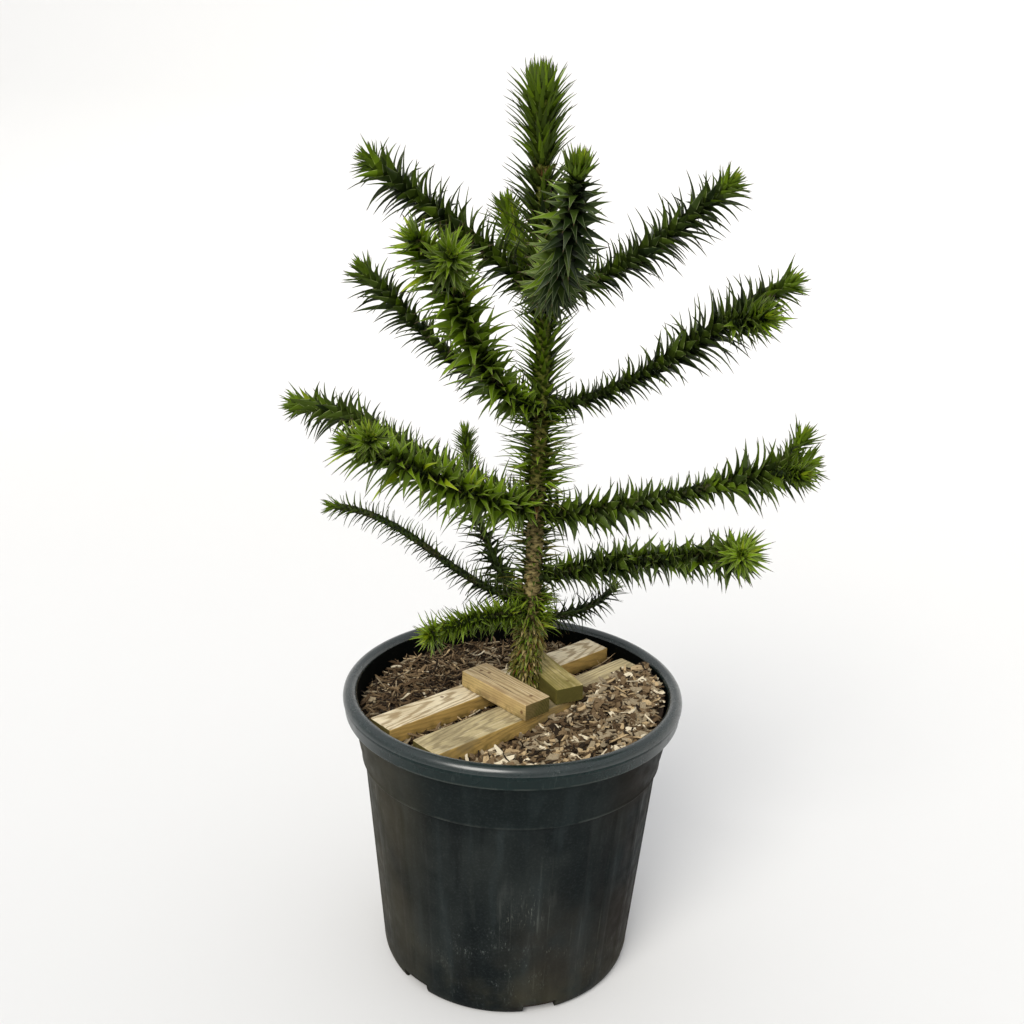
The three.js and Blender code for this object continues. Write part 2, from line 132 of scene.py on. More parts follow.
# name: the bough it leaves, where along it, the turn away from it, slope, length, reach
SIDE_SHOOTS = {
    "upper_right_shoot": ("upper_right", 0.68, -48, 16, 90, (26, 34, 38)),
    "upper_front_shoot": ("upper_front", 0.76, 55, 22, 88, (30, 40, 44)),
    "middle_right_shoot": ("middle_right", 0.84, 25, 52, 66, (20, 22, 22)),
    "middle_right_spur": ("middle_right", 0.82, -50, 10, 66, (20, 24, 22)),
    "middle_front_shoot": ("middle_front", 0.86, 62, 30, 66, (24, 30, 32)),
}
SHOOT_FRESHNESS = 0.15
HOOKS = {"lower_right": -38, "foot_front": 30, "middle_front": -14}
WHORLS = ("top", "upper", "middle", "lower", "foot")
LIMB_FOOT_RADIUS = 6
LIMB_END_RADIUS = 4.8
LIMB_TIP_RADIUS = 4
LIMB_LENGTH = 32  # how much of a bough's foot is bare
LIMB_SIDES = 14
TRUNK_SIDES = 40

# How leaves stand. Angles are off the shoot, at a leaf's foot and at its point; lean makes them steeper on
# the shoot's upper side and hang bends the lower ones down; spacing is along the shoot from one leaf to
# the next; slender is a leaf's width as a share of its length, and a larger taper draws it sooner to a
# spike; bud is how far short of the shoot's tip the last leaf is set; unfurl stretches the young part,
# crowd is how much closer its leaves stand, open spreads them, crown is their width as a share of an
# older leaf's, and glow is how much fresher their green is; roll and twist turn leaves on their own
# lines; ragged is how uneven they are; start is where a bough's first leaf is; and the sunlight entry is
# painted light: it gives fresher, lighter shades to the leaves on the side that faces the light.
HABIT = dict(
    first=44, last=82, lean=8, hang=0.5, spacing=1.2, slender=0.34, widest=13, longest=58, taper=1.15,
    bud=20, unfurl=0.5, crowd=0.26, open=1.6, crown=0.75, glow=0.8, roll=0.2, twist=0.35, ragged=1.5,
    start=11, sunny=0,
)
# The tight bud in the middle of each growing tip
BUD_HABIT = dict(
    HABIT, first=4, last=-6, lean=0, hang=0, spacing=0.45, slender=0.4, widest=4.5, longest=15, taper=1,
    ragged=0.5,
)
# What stands at a growing tip: from and to beyond the last leaf, reach, wood, freshness and habit
HABIT["crest"] = [
    (-9, 0, 25, 4, 0.7, dict(
        BUD_HABIT, first=54, last=38, spacing=0.4, slender=0.25, widest=7, longest=27, ragged=1,
    )),
    (0, 5, 18, 2.6, 1.2, dict(
        BUD_HABIT, first=26, last=10, spacing=0.28, slender=0.3, widest=5.4, longest=19,
    )),
]
BROAD_HABIT = dict(HABIT, slender=0.38, widest=14, taper=1.1, roll=0.65, twist=0.4)
STAR_BUD_HABIT = dict(
    BUD_HABIT, first=72, last=86, spacing=0.32, slender=0.21, widest=5.6, longest=27, ragged=1.5,
)
STAR_HABIT = dict(
    BROAD_HABIT, spacing=1.05, open=2, bud=11, crown=0.5, unfurl=0.9, glow=0.6, roll=0.4, taper=1.15,
    crest=[
        (-9, 0, 27, 4, 0.75, STAR_BUD_HABIT),
        (0, 5, 25, 3, 1.05, dict(
            STAR_BUD_HABIT, first=50, last=44, spacing=0.22, slender=0.19, widest=4.8, longest=25,
        )),
        (3, 7, 12, 1.6, 1.3, dict(BUD_HABIT, first=24, last=12, spacing=0.25, longest=16)),
    ],
)
SHOOT_HABIT = dict(
    HABIT, first=34, last=76, open=2, bud=17, slender=0.27, unfurl=0.9, glow=0.6, spacing=1,
    crest=[
        *HABIT["crest"],
        (3, 6, 12, 1.6, 1.2, dict(BUD_HABIT, first=20, last=8, spacing=0.25, longest=14)),
    ],
)
THIN_HABIT = dict(
    HABIT, first=56, spacing=1.05, slender=0.19, widest=6, taper=1.2, twist=0.2, glow=0.5,
    crest=[(-4, 3, 15, 2.6, 0.7, dict(
        BUD_HABIT, first=42, last=30, slender=0.22, widest=3.8, longest=16, ragged=1,
    ))],
)
WISPY_HABIT = dict(THIN_HABIT, first=60, last=76, slender=0.14, widest=4.4, spacing=1.3)
CHALICE_HABIT = dict(
    BUD_HABIT, first=38, last=16, spacing=0.25, slender=0.3, widest=8, longest=25, taper=1.05, ragged=0.8,
)
RECURVED_HABIT = dict(
    HABIT, first=64, last=104, lean=0, hang=0.15, widest=13.5, slender=0.39, taper=1.2, spacing=1.25,
    longest=40, unfurl=0.9, crowd=0.6, open=2, crown=0.9, glow=0.1, roll=0.25, sunny=0.28,
    crest=[
        (-6, 2, 28, 7, 0.9, CHALICE_HABIT),
        (2, 7, 22, 4, 1.3, dict(CHALICE_HABIT, first=18, last=4, longest=20)),
    ],
)
LEADER_HABIT = dict(
    HABIT, first=25, last=55, lean=0, hang=0, spacing=0.6, slender=0.21, widest=8.5, longest=41, taper=1.1,
    bud=24, crowd=0.4, open=1.2, crown=0.9, glow=0.9, twist=0.2, ragged=0.7,
    crest=[
        (-16, -6, 28, 14, 0.8, dict(CHALICE_HABIT, first=12, last=3, longest=30, widest=6.5)),
        (-8, 1, 22, 8, 1.1, dict(CHALICE_HABIT, first=8, last=0, widest=6)),
    ],
)
LAST_YEAR_HABIT = dict(LEADER_HABIT, first=38, last=56, longest=48, spacing=0.85)
FOOT_HABIT = dict(
    STAR_HABIT, slender=0.21, widest=6, spacing=0.42, bud=24, glow=0.5, taper=1.2, hang=0, first=56,
    last=78, longest=26, ragged=2.4, start=0,
)
COLUMN_HABIT = dict(
    BUD_HABIT, first=38, last=54, spacing=0.5, slender=0.22, widest=5, longest=22, ragged=1,
)
BOUGH_HABITS = {
    "top_left": dict(HABIT, bud=15),
    "top_front": RECURVED_HABIT,
    "top_back": dict(
        HABIT, first=36, last=60, lean=0, hang=0, spacing=0.34, slender=0.21, widest=6.5, longest=34,
        bud=16, crowd=0.6, ragged=3, glow=0.3,
    ),
    "upper_front": dict(BROAD_HABIT, open=2, unfurl=0.8, crown=0.6, slender=0.33, glow=0.6),
    "middle_right": dict(BROAD_HABIT, glow=0.45),
    "middle_front": dict(BROAD_HABIT, widest=10.5),
    "lower_left": THIN_HABIT,
    "lower_right": STAR_HABIT,
    "lower_back": dict(
        WISPY_HABIT, slender=0.18, widest=6,
        crest=[(-66, 0, 22, 4, 0.65, COLUMN_HABIT), *HABIT["crest"][1:]],
    ),
    "foot_front": FOOT_HABIT,
    "foot_back": WISPY_HABIT,
}
TRUNK_HABIT = dict(HABIT, lean=0, hang=0.1, taper=1.2, roll=0.3, twist=0.3)
# Leaves that stay on the trunk: bottom and top height, reach, freshness, share dying, and their habit
SLEEVES = {
    "trunk_foliage_foot": (374, 486, 24, 0.75, 0.84, dict(
        TRUNK_HABIT, first=58, last=190, hang=0, spacing=0.14, slender=0.36, widest=5.4, longest=14,
        taper=0.8, roll=1.4, twist=2.2, ragged=4,
    )),
    "trunk_foliage_lower": (536, 628, 38, 0.5, 0.15, dict(
        TRUNK_HABIT, first=66, last=86, spacing=0.75, slender=0.19, widest=6,
    )),
    "trunk_foliage_middle": (644, 768, 44, 1.0, 0.08, dict(
        TRUNK_HABIT, first=64, last=84, spacing=0.6, slender=0.18, widest=7,
    )),
    "trunk_foliage_upper": (778, 904, 36, 0.95, 0, dict(
        TRUNK_HABIT, first=46, last=58, hang=0, spacing=1, slender=0.22, widest=8, roll=0.1, twist=0.15,
        ragged=0.8,
    )),
}
# Leaves that spread and droop round the trunk where each whorl of boughs leaves it, and stubs between
COLLAR_HABIT = dict(
    TRUNK_HABIT, first=72, last=128, hang=0.2, spacing=0.8, slender=0.28, widest=8.5, longest=32, roll=0.4,
    twist=0.5,
)
STUB_HABIT = dict(TRUNK_HABIT, spacing=1.3, slender=0.3, widest=5, longest=20, roll=1)
COLLARS = [
    (472, 522, 34, 1.15, 0.1, dict(
        COLLAR_HABIT, first=58, last=100, hang=0.05, spacing=0.17, slender=0.15, widest=4.4, longest=30,
        ragged=3,
    )),
    (508, 540, 23, 0.2, 0.4, STUB_HABIT),
    (624, 652, 38, 0.7, 0.08, COLLAR_HABIT),
    (752, 784, 34, 0.45, 0.05, COLLAR_HABIT),
    (884, 914, 36, 0.3, 0, dict(COLLAR_HABIT, first=84, last=140, spacing=1.8, slender=0.36, widest=12)),
]
BUD_SCALE_HABIT = dict(
    TRUNK_HABIT, first=30, last=50, spacing=0.2, slender=0.5, widest=9, longest=13, taper=1,
)
BUD_SCALE_REACH = 19
# The leader's green stem, thick with the feet of its leaves, by height
LEADER_HEIGHTS = [918, 940, 1030, 1047, 1055, 1078, 1115, 1140, 1152]
LEADER_RADIUS = [9, 11, 11, 9, 9.5, 12.5, 14, 13.5, 11]
LEADER_FROM = LEADER_HEIGHTS[0]
LEADER_REACH = 54
YEAR_END = 1047  # the leader's leaves draw in where last year's growth ended

# The leaves' plain colours, dealt out leaf by leaf, from the deepest living green to the freshest, and
# then those of old and dying leaves
SHADES = {
    "deep": (34, 49, 16), "dark": (57, 74, 23), "mid": (77, 97, 25), "fresh": (95, 120, 22),
    "bright": (113, 142, 18), "lime": (141, 160, 26), "olive": (118, 114, 46), "straw": (168, 148, 96),
    "rust": (122, 90, 46),
}
LIVING = 6
DYING = {"olive": 0.7, "straw": 0.17, "rust": 0.13}
SPINE = (74, 60, 38)
# The pale that margins are mixed towards: the margins' own paler edge, and a painted sheen on top of it.
PALE_MARGIN = (212, 212, 184)
# Dark and light tone of each kind of flake in the mulch
MULCH_TONES = {
    "black": ((26, 19, 12), (54, 42, 29)),
    "brown": ((60, 46, 31), (104, 84, 60)),
    "umber": ((92, 75, 53), (142, 120, 90)),
    "grey": ((124, 110, 86), (178, 162, 134)),
    "tan": ((164, 140, 102), (210, 186, 146)),
    "cream": ((206, 192, 160), (240, 228, 202)),
}

GOLDEN_ANGLE = math.radians(137.508)
# Where the painted sunlight comes from: leaves facing this way are given lighter shades.
PAINTED_SUNLIGHT_FROM = np.array([-0.85, -0.15, 0.5])

# ---- small helpers


def unit(vectors):
    """The same directions at length one."""
    return vectors / np.linalg.norm(vectors, axis=-1, keepdims=True)


def ease(values, low, high):
    """0 up to low, 1 from high on, and a smooth rise between."""
    share = np.clip((np.asarray(values, float) - low) / (high - low), 0, 1)
    return share * share * (3 - 2 * share)


def mix(first, second, share):
    return first + (second - first) * share


def circle(count):
    """The angles of that many places evenly round a circle."""
    return np.linspace(0, 2 * math.pi, count, endpoint=False)


def steady(value):
    """The same value at every distance along a shoot."""
    return lambda distance: value + 0 * distance


def lumps(points, size, seed):
    """Smooth uneven values of about -1 to 1 at each point, in bumps of about that size."""
    rng = np.random.default_rng(seed)
    total = np.zeros(points.shape[:-1])
    for _ in range(9):
        wave = unit(rng.normal(size=3)) * rng.uniform(0.6, 1.6) * 2 * math.pi / (2 * size)
        total += np.sin(points @ wave + rng.uniform(0, 2 * math.pi))
    return total / 4


def tint(colour):
    """Everyday 0 to 255 steps as the linear colour a shader takes; a node's result stays as it is."""
    if isinstance(colour, bpy.types.NodeSocket):
        return colour
    parts = [c / 255 for c in colour]
    return (*[c / 12.92 if c <= 0.04045 else ((c + 0.055) / 1.055) ** 2.4 for c in parts], 1)


def darker(colour, share):
    return [share * c for c in colour]


def add_object(name, mesh, place=None):
    piece = bpy.data.objects.new(name, mesh)
    scene.collection.objects.link(piece)
    if place is not None:
        piece.matrix_world = place
    return piece


def make_mesh(name, points, faces, materials, face_materials=None, smooth=True):
    mesh = bpy.data.meshes.new(name)
    mesh.from_pydata((np.asarray(points, float).reshape(-1, 3) * MM).tolist(), [], faces)
    for material in materials:
        mesh.materials.append(material)
    if face_materials is not None:
        mesh.polygons.foreach_set("material_index", np.asarray(face_materials, np.int32))
    mesh.polygons.foreach_set("use_smooth", np.full(len(mesh.polygons), smooth))
    mesh.update()
    return mesh


def finish_piece(piece, stands_for=()):
    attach(piece, BODY)
    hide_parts(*stands_for)


def loft_faces(rings, sides, first=0, ends=True):
    """The faces of a body through rings that run anticlockwise as seen from its far end."""
    around = np.arange(sides)
    beside = (around + 1) % sides
    faces = []
    for k in range(rings - 1):
        near = first + k * sides
        far = near + sides
        faces += np.stack([near + around, near + beside, far + beside, far + around], 1).tolist()
    if ends:
        faces.append((first + around[::-1]).tolist())
        faces.append((first + (rings - 1) * sides + around).tolist())
    return faces


def cut(piece, cutter, operation="DIFFERENCE"):
    """Applies a boolean cut or join of one closed mesh object on another, and drops the cutter."""
    modifier = piece.modifiers.new("cut", "BOOLEAN")
    modifier.operation = operation
    modifier.solver = "EXACT"
    modifier.object = cutter
    bpy.context.view_layer.update()
    result = piece.evaluated_get(bpy.context.evaluated_depsgraph_get())
    shaped = bpy.data.meshes.new_from_object(result)
    piece.modifiers.clear()
    piece.data = shaped
    bpy.data.objects.remove(cutter)


# ---- materials


class Finish:
    """A material on the Principled shader, with short ways to make the nodes that vary it.

    Low and high are the two values between which a mask goes from 0 to 1.
    """

    def __init__(self, name, roughness, specular=0.4):
        self.material = bpy.data.materials.new(name)
        self.material.use_nodes = True
        self.tree = self.material.node_tree
        self.shader = self.tree.nodes["Principled BSDF"]
        self.set("Roughness", roughness)
        self.set("Specular IOR Level", specular)
        self.place = self.tree.nodes.new("ShaderNodeTexCoord").outputs["Object"]
        self.colour = None

    def connect(self, value, socket):
        if isinstance(value, bpy.types.NodeSocket):
            self.tree.links.new(value, socket)
        else:
            socket.default_value = value

    def set(self, name, value):
        self.connect(value, self.shader.inputs[name])

    def node(self, kind, result, inputs, **settings):
        node = self.tree.nodes.new(kind)
        for name, value in settings.items():
            setattr(node, name, value)
        for name, value in inputs.items():
            self.connect(value, node.inputs[name])
        return node.outputs[result]

    def stretched(self, scale, offset=(0, 0, 0), turn=(0, 0, 0)):
        inputs = {"Vector": self.place, "Location": offset, "Rotation": turn, "Scale": scale}
        return self.node("ShaderNodeMapping", "Vector", inputs)

    def noise(self, scale, detail=4, roughness=0.55, where=None):
        inputs = {
            "Vector": where or self.place, "Scale": scale, "Detail": detail, "Roughness": roughness
        }
        return self.node("ShaderNodeTexNoise", "Fac", inputs)

    def between(self, value, low, high):
        """0 where value is low, 1 where it is high, held past both."""
        inputs = {"Value": value, "From Min": low, "From Max": high}
        return self.node("ShaderNodeMapRange", "Result", inputs, interpolation_type="SMOOTHSTEP")

    def patches(self, scale, detail, low, high, roughness=0.55, where=None):
        return self.between(self.noise(scale, detail, roughness, where), low, high)

    def part(self, axis, vector=None):
        return self.node("ShaderNodeSeparateXYZ", axis, {"Vector": vector or self.place})

    def along(self, axis, low, high):
        """A mask by place along an axis, in millimetres."""
        return self.between(self.part(axis), low * MM, high * MM)

    def facing_up(self, low, high):
        normal = self.tree.nodes.new("ShaderNodeNewGeometry").outputs["Normal"]
        return self.between(self.part("Z", normal), low, high)

    def facing_ends(self):
        """1 where the surface faces along the object's own X, either way."""
        normal = self.tree.nodes.new("ShaderNodeTexCoord").outputs["Normal"]
        along = self.part("X", normal)
        return self.between(self.times(along, along), 0.5, 0.8)

    def spot(self, place, radius, squash=1):
        """A soft round mark at a place in millimetres, drawn out lengthwise where it is squashed."""
        x, y, z = (c * MM for c in place)
        inputs = {0: self.stretched((squash, 1, 1)), 1: (x * squash, y, z)}
        away = self.node("ShaderNodeVectorMath", "Value", inputs, operation="DISTANCE")
        return self.between(away, radius * MM, 0.5 * radius * MM)

    def panel_edges(self):
        """1 along both edges of each of the pot's panels, and 0 elsewhere."""
        inputs = {0: self.part("Y"), 1: self.part("X")}
        turn = self.node("ShaderNodeMath", "Value", inputs, operation="ARCTAN2")
        step = 2 * math.pi / PANELS
        off = self.node("ShaderNodeMath", "Value", {0: turn, 1: step / 2}, operation="PINGPONG")
        inner = self.between(off, PANEL_RIM - 0.006, PANEL_RIM)
        return self.times(inner, self.between(off, PANEL_RIM + 0.009, PANEL_RIM + 0.002))

    def times(self, first, *others):
        for other in others:
            first = self.node("ShaderNodeMath", "Value", {0: first, 1: other}, operation="MULTIPLY")
        return first

    def blend(self, share, first, second):
        inputs = {0: share, 6: tint(first), 7: tint(second)}
        return self.node("ShaderNodeMix", 2, inputs, data_type="RGBA")

    def coat(self, colour, *shares):
        """Lays a colour over the ones before it, as far as all the shares let it show."""
        self.colour = self.blend(self.times(*shares), self.colour, colour) if shares else tint(colour)
        self.set("Base Color", self.colour)

    def bump(self, height, strength, depth):
        inputs = {"Height": height, "Strength": strength, "Distance": depth * MM}
        self.set("Normal", self.node("ShaderNodeBump", "Normal", inputs))

    def vary_roughness(self, scale, least, most):
        inputs = {
            "Value": self.noise(scale, 5), "From Min": 0.3, "From Max": 0.7, "To Min": least, "To Max": most
        }
        self.set("Roughness", self.node("ShaderNodeMapRange", "Result", inputs))


def plain_finish(name, colour, roughness, specular):
    look = Finish(name, roughness, specular)
    look.coat(colour)
    return look.material


def pot_plastic():
    """Black plastic, with dust in streaks, pale scuffs and dried earth lower down; a pale line on the
    band's lip and pale lines along the ribs, each partly wear and dust and partly a painted highlight;
    painted light on the left side and painted shade on the right.
    """
    look = Finish("pot_plastic", 0.5, 0.02)
    look.coat(look.blend(look.patches(8, 3, 0.34, 0.66), (19, 24, 25), (38, 42, 41)))
    bands = look.noise(1, 3, where=look.stretched((26, 26, 2.2)))
    look.coat((46, 53, 54), look.between(bands, 0.5, 0.62), 0.4)
    look.coat((18, 21, 22), look.between(bands, 0.46, 0.36), 0.5)
    look.coat((28, 35, 35), look.along("Z", BAND_HEIGHT - 1, BAND_HEIGHT + 1), 0.45)
    look.coat((78, 84, 82), look.patches(300, 4, 0.45, 0.75, 0.7), 0.13)
    streaks = look.patches(1, 6, 0.5, 0.78, 0.7, look.stretched((55, 55, 6)))
    look.coat((88, 92, 88), streaks, look.patches(9, 2, 0.42, 0.68), 0.4)
    look.coat((60, 46, 30), look.patches(6, 4, 0.46, 0.66), look.patches(2.6, 1, 0.5, 0.66), 0.24)
    for turn, size in ((0.3, (620, 90, 60)), (1.2, (180, 640, 50)), (-0.7, (560, 120, 90))):
        marks = look.patches(1, 4, 0.6, 0.74, 0.7, look.stretched(size, turn=(0, turn, turn)))
        look.coat((132, 134, 124), marks, look.patches(9 + turn, 3, 0.58, 0.7), 0.6)
    # A pale line along the band's lip: partly wear, partly a painted highlight where the lip's edge meets
    # the light.
    above = look.along("Z", BAND_HEIGHT - 2.2, BAND_HEIGHT - 1)
    below = look.along("Z", BAND_HEIGHT + 2.2, BAND_HEIGHT + 0.6)
    look.coat((96, 100, 94), above, below, look.patches(34, 3, 0.34, 0.6), 0.22)
    # Pale lines along the ribs' edges: partly dust, partly a painted highlight standing in for the ribs'
    # shading.
    rib_dust_and_highlight = look.times(look.panel_edges(), look.along("Z", 30, 50), look.along("Z", 290, 280))
    look.coat((92, 96, 90), rib_dust_and_highlight, look.patches(20, 4, 0.36, 0.62), look.patches(5, 2, 0.44, 0.66), 0.26)
    for place, size in POT_SCRATCHES:
        look.coat((150, 150, 140), look.spot(place, size, 0.07), look.patches(120, 3, 0.36, 0.6), 0.5)
    # Painted light and painted reflection: the wall's left side is made paler and warmer, as if lit from
    # the left.
    look.coat((72, 67, 53), look.along("X", -80, -170), look.patches(7, 3, 0.1, 0.62), 0.6)
    # Painted shade: the wall's right side is darkened to a deep brown, as if turned away from the light.
    look.coat((30, 22, 12), look.along("X", 100, 170), look.patches(7, 3, 0.3, 0.56), 0.75)
    rubbed = look.patches(1, 5, 0.52, 0.7, 0.8, look.stretched((420, 420, 110), turn=(0, 0.5, 0)))
    specks = look.times(look.spot(POT_SCUFF, 95), look.patches(34, 4, 0.5, 0.64, 0.7), rubbed)
    look.coat((128, 136, 130), specks, 0.55)
    look.coat((66, 62, 46), look.along("Z", 120, 0), look.patches(16, 6, 0.4, 0.75), 0.5)
    look.vary_roughness(60, 0.36, 0.58)
    look.bump(look.noise(380, 4), 0.2, 0.25)
    return look.material


def pot_rim(name, specular):
    """The rolled rim: smoother and bluer than the wall, dusty, and worn pale along its foot."""
    look = Finish(name, 0.2, specular)
    look.coat(look.blend(look.noise(30, 5), (6, 21, 21), (20, 37, 36)))
    streaks = look.patches(1, 5, 0.5, 0.72, 0.7, look.stretched((420, 420, 60)))
    look.coat((92, 100, 97), streaks, look.patches(14, 3, 0.4, 0.66), 0.34)
    foot = look.along("Z", POT_HEIGHT - 25.8, POT_HEIGHT - 27.8)
    look.coat((124, 126, 116), foot, look.patches(40, 3, 0.3, 0.55), 0.12)
    look.vary_roughness(45, 0.2, 0.3)
    look.bump(look.noise(260, 3), 0.12, 0.15)
    return look.material


def pot_shaded_lining():
    """The inside of the wall, painted far darker than the outside as shade, and duller, with earth dried
    onto it.
    """
    look = Finish("pot_shaded_lining", 0.75, 0.03)
    look.coat(look.blend(look.noise(12, 4), (4, 6, 5), (9, 11, 9)))
    look.coat((20, 18, 13), look.patches(40, 6, 0.5, 0.72, 0.65), 0.4)
    look.bump(look.noise(300, 4), 0.3, 0.3)
    return look.material


def sawn_pine(name, top, grain, side, stain, pith, knots=(), cracks=(), moss=None):
    """Sawn softwood: growth rings round a heart beside the piece, weathered paler on top.

    The stain is a colour and how much of it shows; knots and cracks are places in millimetres.
    """
    look = Finish(name, 0.8, 0.2)
    inputs = {
        "Vector": look.stretched((0.11, 1, 1), tuple(-c * MM for c in pith)),
        "Scale": 96, "Distortion": 8, "Detail": 4, "Detail Scale": 0.7, "Detail Roughness": 0.62,
    }
    rings = look.node("ShaderNodeTexWave", "Fac", inputs, wave_type="RINGS", rings_direction="SPHERICAL")
    lines = look.between(rings, 0.4, 0.95)
    fibres = look.noise(1, 6, 0.72, look.stretched((26, 520, 520)))
    weathered = look.facing_up(0.6, 0.9)
    sides = look.blend(look.times(lines, 0.35), side, darker(side, 0.7))
    damp = look.times(look.along("Z", 4, -9), look.patches(44, 5, 0.38, 0.6), 0.7)
    ends = look.blend(look.times(lines, 0.5), (96, 88, 42), (60, 54, 24))
    look.coat(look.blend(look.facing_ends(), look.blend(damp, sides, (78, 70, 30)), ends))
    look.coat(look.blend(look.times(lines, 0.7), top, grain), weathered)
    look.coat(darker(grain, 0.6), look.between(fibres, 0.5, 0.7), 0.58)
    look.coat((236, 224, 198), look.between(fibres, 0.46, 0.34), weathered, 0.45)
    stain_colour, amount = stain
    look.coat(stain_colour, look.patches(17, 5, 0.46, 0.64, 0.6), amount)
    for knot in knots:
        look.coat((96, 62, 40), look.spot(knot, 3.4), 0.75)
    for crack in cracks:
        look.coat((58, 44, 26), look.spot(crack, 1.1, 0.03), 0.85)
    if moss:
        look.coat(moss, look.patches(40, 6, 0.34, 0.62, 0.68), 0.5)
        # Painted shade: on the sides, away from the top, the moss is a darker copy of its own colour.
        look.coat(darker(moss, 0.7), look.facing_up(0.9, 0.4), look.patches(26, 6, 0.3, 0.58, 0.7), 0.9)
    look.bump(look.blend(0.6, rings, fibres), 0.5, 0.6)
    return look.material


def rough_finish(name, dark, light, grain=900):
    """Dry broken wood, bark or earth: two tones in fine grain."""
    look = Finish(name, 0.88, 0.2)
    look.coat(look.blend(look.patches(grain, 5, 0.3, 0.7, 0.7), dark, light))
    look.bump(look.noise(grain * 1.6, 4), 0.5, 0.4)
    return look.material


def trunk_bark():
    """Tan and scarred low down, olive where it is younger, and green at the top."""
    look = Finish("trunk_bark", 0.82, 0.25)
    cross_bands = look.noise(1, 5, 0.65, look.stretched((90, 90, 420)))
    tone = look.between(cross_bands, 0.35, 0.65)
    look.coat(look.blend(tone, (66, 54, 28), (176, 158, 104)))
    look.coat(look.blend(tone, (72, 72, 28), (122, 118, 54)), look.along("Z", 580, 700))
    look.coat(look.blend(tone, (62, 70, 22), (116, 122, 46)), look.along("Z", 740, 800))
    look.bump(cross_bands, 0.6, 0.8)
    return look.material


def limb_bark():
    """Dark green and brown, as it lies in the shade of its leaves."""
    look = Finish("limb_bark", 0.75, 0.25)
    scales = look.noise(260, 4)
    tone = look.between(scales, 0.35, 0.65)
    look.coat(look.blend(tone, (16, 26, 8), (48, 64, 18)))
    look.coat(look.blend(tone, (34, 32, 14), (72, 70, 32)), look.patches(30, 3, 0.45, 0.7))
    look.bump(scales, 0.5, 0.5)
    return look.material


def leaf_finishes():
    """Face, underside, margin and foot finishes for each shade, and then the spine's."""
    finishes = []
    for name, face in SHADES.items():
        # The margins are the leaves' own paler edges, made paler still as a painted sheen.
        margin = [mix(c, pale, 0.36) for c, pale in zip(face, PALE_MARGIN)]
        for part, colour, roughness, specular in (
            ("", face, 0.42, 0.22),
            # Painted shade: the undersides are a darker copy of the face's colour.
            ("_under", darker(face, 0.86), 0.55, 0.18),
            ("_margin", margin, 0.5, 0.15),
            # Painted shade: each leaf's foot, where the leaves crowd together, is a darker copy of the
            # face's colour.
            ("_foot", darker(face, 0.62), 0.5, 0.12),
        ):
            finishes.append(plain_finish(f"leaf_{name}{part}", colour, roughness, specular))
    finishes.append(plain_finish("leaf_spine", SPINE, 0.5, 0.25))
    return finishes


# ---- pot

FOOT_HEIGHT = 16  # where the curve of the pot's foot ends
RIM_OVAL = (9.5, 11)  # half the rolled rim's width and height


def turned(radius, angle, height):
    """Points at a radius and an angle round the upright axis."""
    return np.stack(np.broadcast_arrays(radius * np.cos(angle), radius * np.sin(angle), height), -1)


def lathe_mesh(name, profile, sides, materials, shape=None, ends=True):
    """A body turned round Z from (radius, height) points that run from its foot to its inside."""
    angle = circle(sides)
    profile = np.repeat(np.array(profile, float)[:, None], sides, 1)
    radius, height = profile[..., 0], profile[..., 1]
    if shape is not None:
        radius = radius + shape(height, angle[None, :], np.arange(len(profile))[:, None])
    points = turned(radius, angle, height)
    return make_mesh(name, points, loft_faces(len(profile), sides, ends=ends), materials)


def pot_profile():
    """The wall's outside from its foot to the rolled rim, and back down its inside."""

    def near(radius, height, offsets):
        return [(radius + out, height + up) for out, up in offsets]

    neck = POT_HEIGHT - RIM_DEPTH
    slope = (BODY_RADIUS - 1.4 - FOOT_RADIUS) / (BAND_HEIGHT - 3 - FOOT_HEIGHT)
    wall = np.linspace(30, BAND_HEIGHT - 16, 18)
    wide, tall = RIM_OVAL
    # The rolled rim is most of an upright oval.
    roll = [(wide * math.cos(t), tall * math.sin(t)) for t in np.radians(np.linspace(-32, 172, 18))]
    outside = [
        *near(FOOT_RADIUS, 0, [(-9, 0), (-6, 0.8), (-3.2, 4), (-1, 10), (0, FOOT_HEIGHT)]),
        *[(FOOT_RADIUS + slope * (height - FOOT_HEIGHT), height) for height in wall],
        *near(BODY_RADIUS, BAND_HEIGHT, [(-2.1, -9), (-1.6, -3), (-1.4, -1.8), (1.4, -1.4)]),
        *near(BODY_RADIUS, BAND_HEIGHT, [(2.2, 0), (1.8, 1.8), (1.9, 5)]),
        (COLLAR_RADIUS, COLLAR_HEIGHT),
        (mix(COLLAR_RADIUS, RIM_RADIUS - 12, 0.5), mix(COLLAR_HEIGHT, neck, 0.5)),
        *near(RIM_RADIUS, neck, [(-12.5, -3), (-11.5, 0), (-5, 0.2), (-3.2, 1), (-2.6, 2.6)]),
        *near(RIM_RADIUS - wide, POT_HEIGHT - tall, roll),
    ]
    inside = [
        *near(RIM_RADIUS, POT_HEIGHT, [(-19.6, -14), (-20.2, -22)]),
        (RIM_RADIUS - 21.5, COMPOST_LEVEL),
        (COLLAR_RADIUS - POT_WALL, COLLAR_HEIGHT),
        (BODY_RADIUS - POT_WALL - 1, BAND_HEIGHT),
        (FOOT_RADIUS - POT_WALL, FOOT_HEIGHT),
        (FOOT_RADIUS - POT_WALL - 4, POT_FLOOR),
    ]
    return outside, inside


